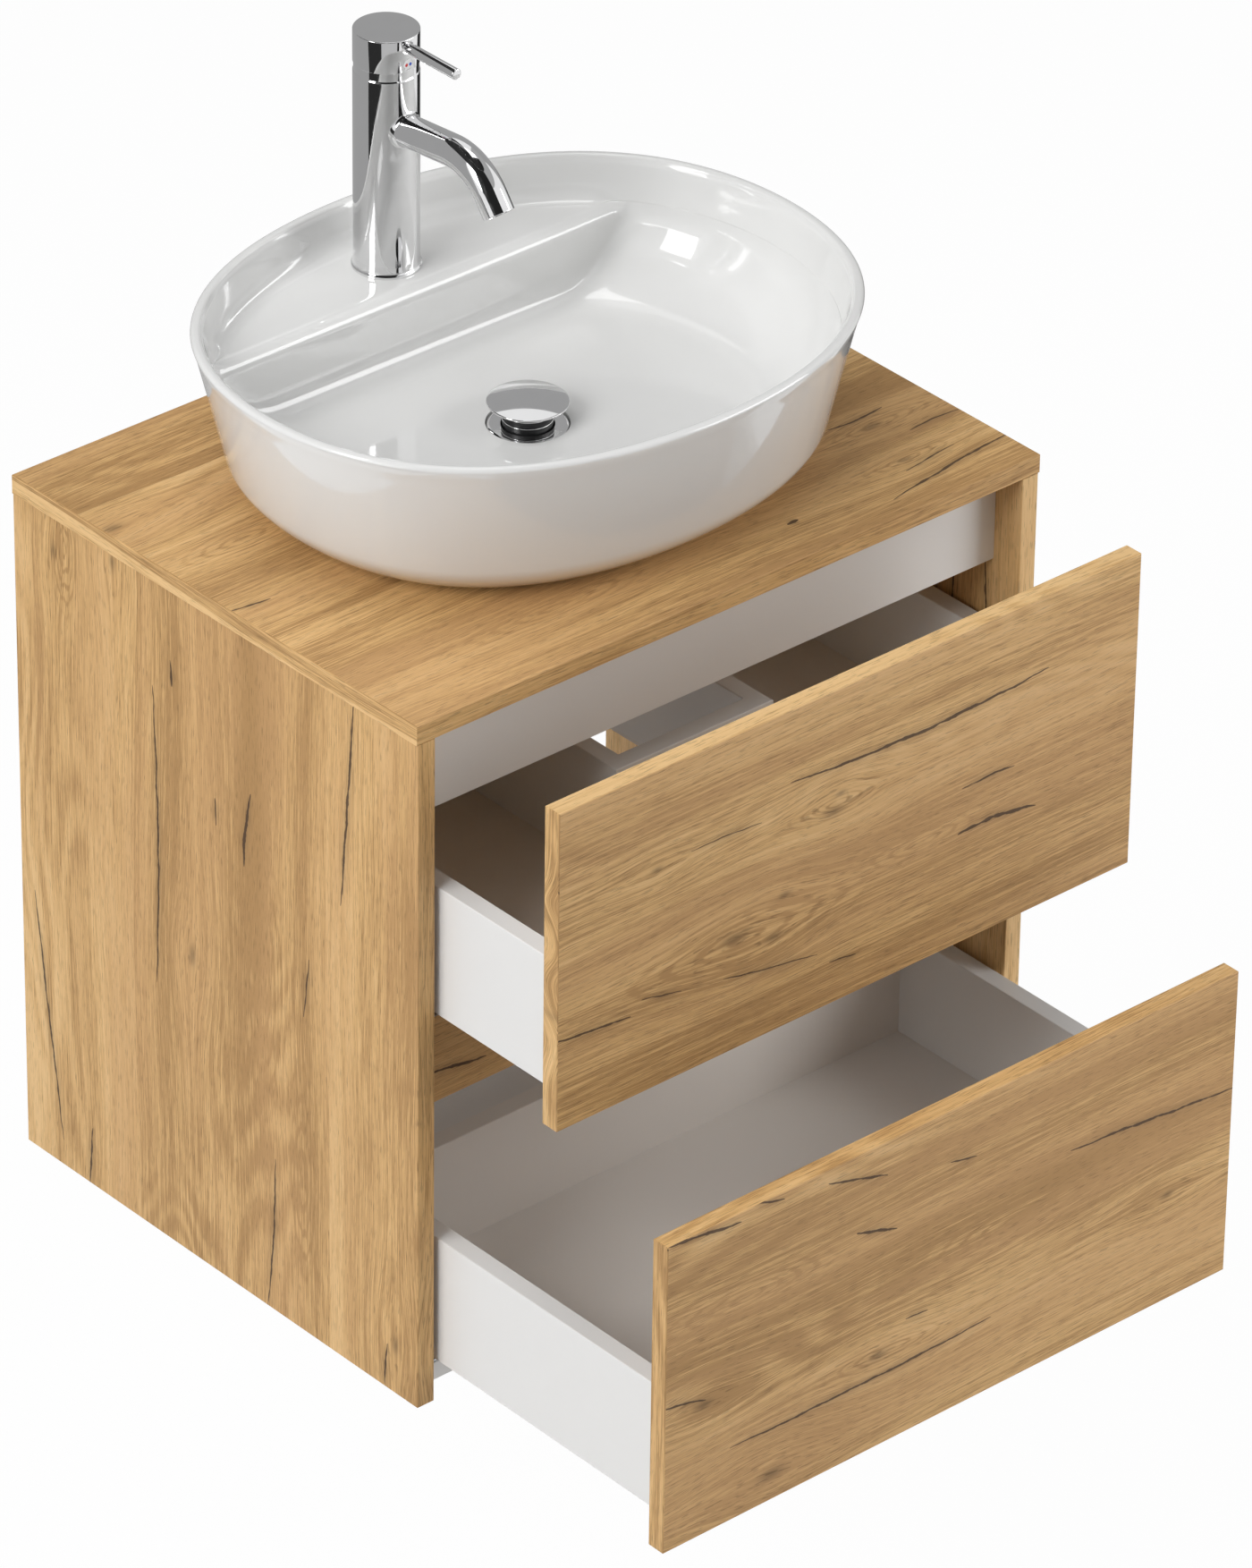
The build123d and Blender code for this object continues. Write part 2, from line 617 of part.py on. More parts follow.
for name, (base_z, out) in drawers.items():
    front_foot = base_z - side_rise
    front_face = front_y - out
    box_start = front_face + board
    box_end = box_start + box_length
    floor_z = base_z + floor_recess
    wall_foot = floor_z + floor_thickness
    wall_top = base_z + side_height

    with BuildPart() as front:
        slab((-front_half, front_half), (front_face, box_start), (front_foot, front_foot + front_height))
        chamfer(front.edges(), edge_ease)
        slab((-box_inner - groove_depth, box_inner + groove_depth), (box_start - groove_depth, box_start),
             (floor_z - groove_play, wall_foot + groove_play), Mode.SUBTRACT)
    save(front, f"{name}_drawer_front")

    for side, label in ((-1, "left"), (1, "right")):
        with BuildPart() as drawer_side:
            slab(sorted((side * box_inner, side * box_outer)), (box_start, box_end), (base_z, wall_top))
            chamfer(drawer_side.faces().sort_by(Axis.Z)[-1].edges().filter_by(Axis.Y), edge_ease)
            cut_floor_groove(side * box_inner, side, (box_start, box_end), base_z)
        save(drawer_side, f"{name}_drawer_side_{label}")

    # The floor slides into the grooves and carries the back, which stands on it.
    floor_half = box_inner + groove_depth
    with BuildPart() as floor:
        slab((-floor_half, floor_half), (box_start - groove_depth + groove_play, box_end),
             (floor_z, wall_foot))
        if name == "upper":
            slab((-well_width / 2, well_width / 2), (box_start + well_start, box_end),
                 (floor_z, wall_foot), Mode.SUBTRACT)
    save(floor, f"{name}_drawer_floor")

    with BuildPart() as back:
        slab((-box_inner, box_inner), (box_end - board, box_end), (wall_foot, wall_top))
        if name == "upper":
            slab((-well_outer, well_outer), (box_end - board, box_end), (wall_foot, wall_top), Mode.SUBTRACT)
        chamfer(back.faces().group_by(Axis.Z)[-1].edges().filter_by(Axis.X), edge_ease)
        for side in (-1, 1):
            pin_at = (side * member_x, box_end, wall_foot + hook_pin_height)
            pin_depth = hook_pin_length - hook_reach + gauge + hook_pin_room
            rod(pin_at, (0, -1, 0), hook_pin_radius + fastening_play, pin_depth, Mode.SUBTRACT)
    save(back, f"{name}_drawer_back")

    # A locking clip at each front corner grips the drawer member from inside.
    with BuildPart() as clips:
        for side in (-1, 1):
            near = side_inner - carrier_in - carrier_width
            across = sorted((side * near, side * (near - clip_size[0])))
            slab(across, (box_start, box_start + clip_size[1]), (floor_z - clip_size[2], floor_z))
            slab((min(across) + clip_wall, max(across) - clip_wall),
                 (box_start + 2 * clip_wall, box_start + clip_size[1] - clip_wall),
                 (floor_z - clip_size[2], floor_z - clip_wall), Mode.SUBTRACT)
            tongue_width, tongue_start, tongue_drop = clip_tongue
            middle_x = side * (near - clip_size[0] / 2)
            slab((middle_x - tongue_width / 2, middle_x + tongue_width / 2),
                 (box_start + tongue_start, box_start + clip_size[1] + clip_wall),
                 (floor_z - clip_size[2] - tongue_drop, floor_z - clip_size[2] + gauge))
    save(clips, f"{name}_drawer_clips")

with BuildPart() as well_walls:
    base_z, out = drawers["upper"]
    box_start = front_y - out + board
    wall_foot = base_z + floor_recess + floor_thickness
    wall_top = base_z + side_height
    slab((-well_outer, well_outer), (box_start + well_start - board, box_start + well_start),
         (wall_foot, wall_top))
    for side in (-1, 1):
        slab(sorted((side * well_width / 2, side * well_outer)),
             (box_start + well_start, box_start + box_length), (wall_foot, wall_top))
    chamfer(well_walls.faces().group_by(Axis.Z)[-1].edges(), edge_ease)
save(well_walls, "upper_drawer_well_walls")

# ---------------------------------------------------------------- basin
# Every level of the basin is the same oval, inset by the lean of the wall and the roll under the foot.
oval_points = 24


def oval(half_width, half_depth):
    """Fills a superellipse: |x/a|^n + |y/b|^n = 1, with n the basin's squareness."""
    outline = []
    for step in range(oval_points):
        turn = 2 * pi * step / oval_points
        across, along = cos(turn), sin(turn)
        outline.append((half_width * copysign(abs(across) ** (2 / squareness), across),
                        half_depth * copysign(abs(along) ** (2 / squareness), along)))
    with BuildLine() as edge:
        Spline(*outline, periodic=True)
    make_face(edge.edges())


def outer_inset(height, taper):
    """Inset of the outer wall: a straight lean, with a parabola that rolls the foot under."""
    roll = max(0.0, 1 - height / foot_round)
    return taper * (basin_height - height) + foot_tuck * roll**2


def bowl_inset(height, taper):
    """Inset of the bowl's wall: the lean, the wall's thickness and a parabola into the floor."""
    roll = max(0.0, 1 - (height - bowl_floor) / bowl_round)
    return taper * (basin_height - height) + basin_wall + bowl_tuck * roll**2


def oval_loft(heights, inset, extra=0.0):
    """Lofts the ovals of a wall at the given heights above the countertop."""
    sections = []
    for height in heights:
        with BuildSketch(Plane((0, basin_y, top_z + height))) as level:
            oval(basin_half_width - inset(height, side_taper) - extra,
                 basin_half_depth - inset(height, end_taper) - extra)
        sections.append(level.sketch)
    loft(sections)


def levels(low, bend, high):
    """Heights of a wall's sections: closer together where it rolls into the floor, up to the bend."""
    rolled = [low + (bend - low) * share for share in (0, 0.3, 0.6, 1)]
    return rolled + [bend + (high - bend) * share for share in (0.35, 0.7, 1)]


beyond = 2 * basin_half_depth

with BuildPart() as bowl:
    oval_loft(levels(bowl_floor, bowl_floor + bowl_round, basin_height), bowl_inset)
    slab((-half, half), (deck_face_y, deck_face_y + beyond), (top_z, deck_z), Mode.SUBTRACT)
    face_foot = bowl.edges().filter_by(Axis.X).sort_by(Axis.Z)[0]
    fillet(face_foot, deck_root_radius)
    face_head = bowl.edges().filter_by(Axis.X).sort_by(Axis.Z)[-1]
    fillet(face_head, deck_edge_radius)

# Underneath, the ceramic is hollow: shallow below the bowl's floor and deep below the tap deck.
hollow_top = deck_height - deck_ceramic
floor_under = bowl_floor - dish_drop - floor_ceramic
with BuildPart() as underside:
    oval_loft(levels(-1.0, foot_round, hollow_top), outer_inset, basin_wall)
    slab((-half, half), (basin_y - beyond, deck_face_y + deck_ceramic), (top_z + floor_under, deck_z),
         Mode.SUBTRACT)

with BuildPart() as basin:
    oval_loft(levels(0, foot_round, basin_height), outer_inset)
    fillet(basin.faces().sort_by(Axis.Z)[-1].edges(), rim_round)
    add(bowl.part, mode=Mode.SUBTRACT)
    fillet(basin.faces().sort_by(Axis.Z)[-1].inner_wires()[0].edges(), rim_round)
    add(underside.part, mode=Mode.SUBTRACT)
    floor_z = top_z + bowl_floor
    with Locations((0, basin_y, floor_z - dish_drop / 2)):
        Cone(flange_radius, dish_radius, dish_drop, mode=Mode.SUBTRACT)
    seat_depth = flange_thickness + seal_thickness
    rod((0, basin_y, flange_z), (0, 0, -1), flange_radius + flange_play, seat_depth, Mode.SUBTRACT)
    rod((0, basin_y, top_z), (0, 0, 1), waste_hole_radius, bowl_floor, Mode.SUBTRACT)
    rod((0, tap_y, deck_z), (0, 0, -1), tap_hole_radius, deck_ceramic, Mode.SUBTRACT)
save(basin, "basin")

# ---------------------------------------------------------------- waste
# The flange's cup and threaded tail pass through the basin and the countertop; the nut below draws
# both together. The push plug slides in the cup: up to drain, down to close.
throat_z = flange_z - cup_depth
shoulder_z = under_z - 2 * seal_thickness - backnut_height - tail_shoulder
tail_end = shoulder_z - tail_length
with BuildPart() as waste_flange:
    with BuildSketch(lathe_plane(basin_y)) as section:
        with BuildLine():
            Polyline(
                (cup_bore, flange_z), (flange_radius, flange_z), (flange_radius, flange_z - flange_edge),
                (cup_radius, flange_z - flange_thickness), (cup_radius, throat_z - cup_foot),
                (body_thread_radius, throat_z - cup_foot), (body_thread_radius, shoulder_z),
                (waste_thread_radius, shoulder_z), (waste_thread_radius, tail_end + thread_lead),
                (waste_thread_radius - thread_lead, tail_end), (waste_bore, tail_end),
                (waste_bore, throat_z), (cup_bore, throat_z), close=True,
            )
        make_face()
    revolve(axis=Axis((0, basin_y, 0), (0, 0, 1)))
save(waste_flange, "waste_flange")

with BuildPart() as waste_top_seal:
    rod((0, basin_y, flange_z - flange_thickness), (0, 0, -1), flange_radius, seal_thickness)
    rod((0, basin_y, flange_z), (0, 0, -1), cup_radius, cup_depth, Mode.SUBTRACT)
save(waste_top_seal, "waste_top_seal")

with BuildPart() as waste_bottom_seal:
    rod((0, basin_y, under_z), (0, 0, -1), backnut_radius + seal_margin, 2 * seal_thickness)
    rod((0, basin_y, under_z), (0, 0, -1), body_thread_radius + fastening_play, board, Mode.SUBTRACT)
save(waste_bottom_seal, "waste_bottom_seal")

with BuildPart() as waste_backnut:
    nut_top = under_z - 2 * seal_thickness
    with BuildSketch(Plane.XY.offset(nut_top)) as hexagon:
        with Locations((0, basin_y)):
            RegularPolygon(backnut_radius, 6)
    extrude(amount=-backnut_height)
    rod((0, basin_y, nut_top), (0, 0, -1), body_thread_radius + fastening_play, backnut_height,
        Mode.SUBTRACT)
    chamfer(waste_backnut.edges().filter_by(Axis.Z), backnut_ease)
save(waste_backnut, "waste_backnut")

cap_z = flange_z + cap_lift
with BuildPart() as plug_cap:
    with BuildSketch(lathe_plane(basin_y)) as section:
        with BuildLine():
            rim_top = (cap_radius, cap_z + cap_edge)
            crown = (0, cap_z + cap_edge + cap_dome)
            ball = (cap_radius**2 + cap_dome**2) / (2 * cap_dome)
            shoulder = (cap_radius / 2, crown[1] - ball + sqrt(ball**2 - cap_radius**2 / 4))
            ThreePointArc(rim_top, shoulder, crown)
            bevel_width, bevel_height = cap_bevel
            Polyline(crown, (0, cap_z), (cap_radius - bevel_width, cap_z),
                     (cap_radius, cap_z + bevel_height), rim_top)
        make_face()
    revolve(axis=Axis((0, basin_y, 0), (0, 0, 1)))
save(plug_cap, "plug_cap")

with BuildPart() as plug_stem:
    rod((0, basin_y, cap_z), (0, 0, -1), stem_radius, cap_lift + stem_drop)
    rod((0, basin_y, cap_z), (0, 0, -1), waste_bore - stem_play, stem_length)
    for share in plug_ring_places:
        with Locations((0, basin_y, flange_z + share * cap_lift)):
            Cylinder(stem_radius, plug_ring_height, mode=Mode.SUBTRACT)
            Cylinder(stem_radius - plug_ring_groove, plug_ring_height)
save(plug_stem, "plug_stem")

with BuildPart() as plug_rings:
    for share in plug_ring_places:
        with Locations((0, basin_y, flange_z + share * cap_lift)):
            Cylinder(stem_radius, plug_ring_height)
            Cylinder(stem_radius - plug_ring_groove, plug_ring_height, mode=Mode.SUBTRACT)
save(plug_rings, "plug_rings")

# ---------------------------------------------------------------- tap
# The body carries the spout, the cartridge and the domed ring; the head turns and tips on the cartridge.
# Seen from the side the spout's line rises slightly, bends on an arc and falls to the outlet.
spout_start = (0, tap_y, deck_z + spout_height)
rise, fall = radians(spout_rise), radians(spout_fall)
corner = (0, tap_y - spout_corner, deck_z + spout_height + spout_corner * sin(rise) / cos(rise))
outlet_way = Vector(0, -cos(fall), -sin(fall))
outlet = Vector(corner) + outlet_way * spout_end

with BuildPart() as tap_body:
    rod((0, tap_y, deck_z), (0, 0, 1), tap_radius, seam_height)
    chamfer(tap_body.faces().sort_by(Axis.Z)[-1].edges(), body_edge)
    with BuildLine() as spout_line:
        FilletPolyline(spout_start, corner, outlet, radius=spout_bend)
    with BuildSketch(Plane(origin=spout_start, z_dir=(0, -cos(rise), sin(rise)))) as spout_end_face:
        Circle(spout_radius)
    sweep(spout_end_face.sketch, path=spout_line.wire())
    root = [edge for edge in tap_body.edges().filter_by(GeomType.CIRCLE, reverse=True)
            if edge.center().Y > tap_y - tap_radius - 3]
    fillet(root, spout_root)
    rod((0, tap_y, seam_z), (0, 0, -1), cartridge_radius + fastening_play,
        cartridge_height - cartridge_proud, Mode.SUBTRACT)
    rod(outlet, -outlet_way, spout_bore, aerator_length + spout_seat, Mode.SUBTRACT)
    for side in (-1, 1):
        inlet_at = (side * inlet_spacing / 2, tap_y + inlet_back, deck_z)
        rod(inlet_at, (0, 0, 1), inlet_radius, inlet_depth, Mode.SUBTRACT)
    rod((0, tap_y - stud_forward, deck_z), (0, 0, 1), stud_radius + fastening_play, inlet_depth,
        Mode.SUBTRACT)
save(tap_body, "tap_body")

with BuildPart() as aerator:
    rim_width, rim_height = aerator_rim
    mouth_at = outlet - outlet_way * aerator_inset
    rod(mouth_at, -outlet_way, spout_bore - fastening_play, aerator_length)
    rod(mouth_at, -outlet_way, spout_bore - rim_width, rim_height, Mode.SUBTRACT)
save(aerator, "aerator")

# A flared ring hides the joint between the body and the deck.
with BuildPart() as tap_base_ring:
    with BuildSketch(lathe_plane(tap_y)) as section:
        with BuildLine():
            inner = tap_radius + fastening_play
            outer = tap_radius + base_ring_flare
            Polyline(
                (inner, deck_z + base_ring_height), (inner, deck_z), (outer, deck_z),
                (outer, deck_z + base_ring_flare), (inner + base_ring_wall[0], deck_z + base_ring_height / 2),
                (inner + base_ring_wall[1], deck_z + base_ring_height), close=True,
            )
        make_face()
    revolve(axis=Axis((0, tap_y, 0), (0, 0, 1)))
save(tap_base_ring, "tap_base_ring")

with BuildPart() as tap_fixing_stud:
    rod((0, tap_y - stud_forward, deck_z + inlet_depth), (0, 0, -1), stud_radius, stud_length)
save(tap_fixing_stud, "tap_fixing_stud")

with BuildPart() as tap_fixing_washer:
    rod((0, tap_y, washer_z), (0, 0, -1), washer_radius, washer_thickness)
    mouth = inlet_spacing / 2 + inlet_radius + washer_mouth
    slab((-mouth, mouth), (tap_y - stud_radius, tap_y + washer_radius),
         (washer_z - washer_thickness, washer_z), Mode.SUBTRACT)
    rod((0, tap_y - stud_forward, washer_z), (0, 0, -1), stud_radius + fastening_play, washer_thickness,
        Mode.SUBTRACT)
save(tap_fixing_washer, "tap_fixing_washer")

with BuildPart() as tap_fixing_nut:
    nut_z = washer_z - washer_thickness
    with BuildSketch(Plane.XY.offset(nut_z)) as hexagon:
        with Locations((0, tap_y - stud_forward)):
            RegularPolygon(nut_radius, 6)
    extrude(amount=-nut_height)
    rod((0, tap_y - stud_forward, nut_z), (0, 0, -1), stud_radius + fastening_play, nut_height, Mode.SUBTRACT)
save(tap_fixing_nut, "tap_fixing_nut")

# Cartridge: a fixed sleeve, a turret that turns in it, and a spindle that tips on two trunnions.
turret_foot = pivot_z - turret_below
with BuildPart() as tap_cartridge:
    rod((0, tap_y, seam_z + cartridge_proud), (0, 0, -1), cartridge_radius, cartridge_height)
    bore_depth = seam_z + cartridge_proud - turret_foot + turret_play
    rod((0, tap_y, seam_z + cartridge_proud), (0, 0, -1), turret_radius + turret_fit, bore_depth,
        Mode.SUBTRACT)
save(tap_cartridge, "tap_cartridge")

with BuildPart() as cartridge_turret:
    rod((0, tap_y, turret_foot), (0, 0, 1), turret_radius, turret_below + turret_above)
    slot = spindle_width / 2 + turret_play
    slab((-slot, slot), (tap_y - turret_radius, tap_y + turret_radius),
         (turret_foot + turret_floor, pivot_z + turret_above), Mode.SUBTRACT)
    rod((-turret_radius, tap_y, pivot_z), (1, 0, 0), trunnion_radius + trunnion_fit, 2 * turret_radius,
        Mode.SUBTRACT)
save(cartridge_turret, "cartridge_turret")

with BuildPart() as cartridge_spindle:
    reach = spindle_width / 2
    slab((-reach, reach), (tap_y - reach, tap_y + reach), (pivot_z - spindle_tail, pivot_z + spindle_top))
    chamfer(cartridge_spindle.faces().sort_by(Axis.Z)[0].edges(), spindle_ease)
    trunnion_reach = turret_radius - trunnion_inset
    rod((-trunnion_reach, tap_y, pivot_z), (1, 0, 0), trunnion_radius, 2 * trunnion_reach)
save(cartridge_spindle, "cartridge_spindle")

with BuildPart() as tap_dome_ring:
    with BuildSketch(lathe_plane(tap_y)) as section:
        with BuildLine():
            foot_radius = tap_radius - dome_land
            half_radius = (foot_radius + dome_mouth) / 2
            mouth_at, half_way, foot_at = (
                (radius, pivot_z + sqrt(dome_radius**2 - radius**2))
                for radius in (dome_mouth, half_radius, foot_radius))
            ThreePointArc(foot_at, half_way, mouth_at)
            Polyline(
                mouth_at, (dome_mouth, seam_z + cartridge_proud),
                (cartridge_radius + fastening_play, seam_z + cartridge_proud),
                (cartridge_radius + fastening_play, seam_z), (foot_radius, seam_z), foot_at,
            )
        make_face()
    revolve(axis=Axis((0, tap_y, 0), (0, 0, 1)))
save(tap_dome_ring, "tap_dome_ring")

# The head is hollowed by a sphere about the pivot, so that it clears the domed ring as it tips.
lever_z = seam_z + lever_height
indicator_z = seam_z + indicator_height
with BuildPart() as tap_head:
    rod((0, tap_y, seam_z + seam_gap), (0, 0, 1), tap_radius, head_height - seam_gap)
    chamfer(tap_head.faces().sort_by(Axis.Z)[-1].edges(), head_edges[0])
    chamfer(tap_head.faces().sort_by(Axis.Z)[0].edges(), head_edges[1])
    with Locations((0, tap_y, pivot_z)):
        Sphere(dome_radius + dome_clearance, mode=Mode.SUBTRACT)
    socket = spindle_width / 2 + fastening_play
    slab((-socket, socket), (tap_y - socket, tap_y + socket),
         (pivot_z, pivot_z + spindle_top + seam_gap), Mode.SUBTRACT)
    disc_at, lever_at = (0, tap_y - tap_radius, indicator_z), (0, tap_y - tap_radius, lever_z)
    rod(disc_at, (0, 1, 0), grub_radius + fastening_play, tap_radius, Mode.SUBTRACT)
    rod(disc_at, (0, 1, 0), indicator_seat, indicator_size[1], Mode.SUBTRACT)
    rod(lever_at, (0, 1, 0), *lever_recess, Mode.SUBTRACT)
    rod(lever_at, (0, 1, 0), lever_neck_radius, lever_bore, Mode.SUBTRACT)
save(tap_head, "tap_head")

with BuildPart() as head_grub_screw:
    socket_width, socket_depth = grub_socket
    rod((0, tap_y - spindle_width / 2, indicator_z), (0, -1, 0), grub_radius, grub_length)
    with Locations((0, tap_y - spindle_width / 2 - grub_length + socket_depth / 2, indicator_z)):
        Box(socket_width, socket_depth, socket_width, mode=Mode.SUBTRACT)
save(head_grub_screw, "head_grub_screw")

with BuildPart() as tap_indicator:
    seat_y = tap_y - tap_radius + indicator_size[1] - indicator_inset
    rod((0, seat_y, indicator_z), (0, -1, 0), *indicator_size)
    chamfer(tap_indicator.faces().sort_by(Axis.Y)[0].edges(), indicator_edge)
save(tap_indicator, "tap_indicator")

with BuildPart() as tap_lever:
    tip_y = tap_y - lever_reach
    rod((0, tip_y, lever_z), (0, 1, 0), lever_radius, lever_reach - tap_radius - lever_neck)
    chamfer(tap_lever.faces().sort_by(Axis.Y)[0].edges(), lever_edge)
    neck_length = lever_reach - tap_radius + lever_root - lever_core
    rod((0, tip_y + lever_core, lever_z), (0, 1, 0), lever_neck_radius, neck_length)
save(tap_lever, "tap_lever")
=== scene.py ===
"""Vessel sink on vanity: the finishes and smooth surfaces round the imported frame, laid out as an add-on."""

import json
import math
from functools import partialmethod

import bmesh
import bpy
import numpy as np
from bpy.props import FloatProperty, FloatVectorProperty, PointerProperty
from mathutils import Matrix, Vector


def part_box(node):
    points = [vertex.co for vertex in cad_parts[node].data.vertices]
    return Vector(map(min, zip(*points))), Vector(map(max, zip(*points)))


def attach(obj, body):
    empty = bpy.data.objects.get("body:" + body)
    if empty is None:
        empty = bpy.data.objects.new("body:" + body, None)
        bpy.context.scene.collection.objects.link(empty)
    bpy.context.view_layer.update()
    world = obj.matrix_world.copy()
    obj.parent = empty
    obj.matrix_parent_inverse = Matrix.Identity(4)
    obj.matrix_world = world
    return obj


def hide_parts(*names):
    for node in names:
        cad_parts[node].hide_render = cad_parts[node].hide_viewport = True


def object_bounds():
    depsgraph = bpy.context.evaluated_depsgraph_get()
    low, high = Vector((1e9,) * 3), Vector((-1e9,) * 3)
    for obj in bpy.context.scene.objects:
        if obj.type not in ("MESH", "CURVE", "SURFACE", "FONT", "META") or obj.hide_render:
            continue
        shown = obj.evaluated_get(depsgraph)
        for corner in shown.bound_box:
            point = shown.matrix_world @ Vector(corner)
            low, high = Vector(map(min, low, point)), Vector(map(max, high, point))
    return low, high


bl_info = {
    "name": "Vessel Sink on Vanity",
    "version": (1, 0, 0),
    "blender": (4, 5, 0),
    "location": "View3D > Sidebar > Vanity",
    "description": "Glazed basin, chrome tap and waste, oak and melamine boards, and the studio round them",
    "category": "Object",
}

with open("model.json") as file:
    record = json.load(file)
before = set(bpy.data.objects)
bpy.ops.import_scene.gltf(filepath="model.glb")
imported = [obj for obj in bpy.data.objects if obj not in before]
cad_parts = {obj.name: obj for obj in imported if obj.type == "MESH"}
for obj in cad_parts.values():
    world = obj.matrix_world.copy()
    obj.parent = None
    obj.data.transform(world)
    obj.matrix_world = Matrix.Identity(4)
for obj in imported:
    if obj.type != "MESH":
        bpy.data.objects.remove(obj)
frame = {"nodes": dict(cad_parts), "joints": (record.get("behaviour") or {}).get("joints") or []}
cad_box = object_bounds()

MM = 0.001
X, Y, Z = 0, 1, 2


def low(node, axis):
    """Lowest place of a CAD node along an axis."""
    return float(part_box(node)[0][axis])


def high(node, axis):
    """Highest place of a CAD node along an axis."""
    return float(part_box(node)[1][axis])


def span(node, axis):
    """Length of a CAD node's box along an axis."""
    return high(node, axis) - low(node, axis)


def middle(node, axis):
    """Middle of a CAD node's box along an axis."""
    return (high(node, axis) + low(node, axis)) / 2


TOP = high("countertop", Z)
JOINTS = {joint["name"]: joint for joint in frame["joints"]}
PIVOT = Vector(JOINTS["tap_lift"]["pos_m"])
DECK = low("tap_body", Z)


# ---------------------------------------------------------------- sizes and colours a user would change
def length(name, description, value):
    return FloatProperty(name=name, description=description, default=value, min=0.0, unit="LENGTH")


def number(name, description, value):
    return FloatProperty(name=name, description=description, default=value)


def angle(name, description, degrees):
    return FloatProperty(name=name, description=description, default=math.radians(degrees), subtype="ANGLE")


def colour(name, description, value):
    return FloatVectorProperty(
        name=name, description=description, default=value, size=3, min=0.0, max=1.0, subtype="COLOR")


class VanityBasin(bpy.types.PropertyGroup):
    half_width: length("Half width", "From the middle to the rim's edge at the side", span("basin", X) / 2)
    half_depth: length("Half depth", "From the middle to the rim's edge in front", span("basin", Y) / 2)
    height: length("Height", "Rim above the countertop", span("basin", Z))
    fullness: number("Fullness", "How far the oval's diagonals stand out beyond an ellipse's", 0.0335)
    side_lean: number("Side lean", "Inward lean of the wall at the sides, per unit of height", 0.245)
    end_lean: number("End lean", "Inward lean of the wall at the front and the back", 0.21)
    foot_tuck: length("Foot tuck", "Extra inset of the foot", 31 * MM)
    foot_round: length("Foot round", "Height over which the wall rounds under", 35 * MM)
    wall: length("Wall", "Thickness of the ceramic wall", 8 * MM)
    bowl_floor: length("Bowl floor", "Floor above the countertop", 37.5 * MM)
    bowl_tuck: length("Bowl tuck", "Extra inset of the bowl's floor", 48 * MM)
    bowl_round: length("Bowl round", "Height over which the bowl's wall rounds into the floor", 60 * MM)
    dish: length("Dish", "Fall of the floor towards the waste", 2.5 * MM)
    dish_radius: length("Dish radius", "Where the floor starts to fall", 90 * MM)
    deck_front: length("Deck front", "Front face of the tap deck behind the basin's middle", 119 * MM)
    deck_edge: length("Deck edge", "Rounding of the deck's front edge", 11 * MM)
    deck_root: length("Deck root", "Rounding where the deck's face meets the floor", 22 * MM)
    deck_rear: length("Deck rear", "Rounding where the deck meets the wall", 13 * MM)
    corner: length("Corner", "Softness of the corners where the deck's face meets the wall", 4 * MM)
    rim_round: length("Rim round", "Rounding of the rim's two edges", 3.4 * MM)


class VanityTap(bpy.types.PropertyGroup):
    radius: length("Radius", "Radius of the body and the head", 25 * MM)
    spout_radius: length("Spout radius", "Radius of the spout", 12.4 * MM)
    spout_height: length("Spout height", "Where its line crosses the axis, above the deck", 119.2 * MM)
    spout_rise: angle("Spout rise", "Upward slope of the spout's first stretch", 5)
    spout_fall: angle("Spout fall", "Downward slope of its second stretch", 52)
    spout_corner: length("Spout corner", "Where its stretches would meet, in front of the axis", 101.6 * MM)
    spout_end: length("Spout end", "From there to the outlet", 42.6 * MM)
    spout_bend: length("Spout bend", "Radius of the bend", 50 * MM)
    root_round: length("Root round", "Rounding where the spout leaves the body", 3.5 * MM)
    seam_height: length("Seam height", "Seam below the head, above the head's turning point", 17.9 * MM)
    collar_height: length("Collar height", "Height of the narrower collar at the head's foot", 6.7 * MM)
    collar_inset: length("Collar inset", "How far the collar lies inside the head's wall", 0.6 * MM)
    lever_radius: length("Lever radius", "Radius of the lever", 4.3 * MM)
    neck_radius: length("Neck radius", "Radius of the lever's neck", 2.8 * MM)


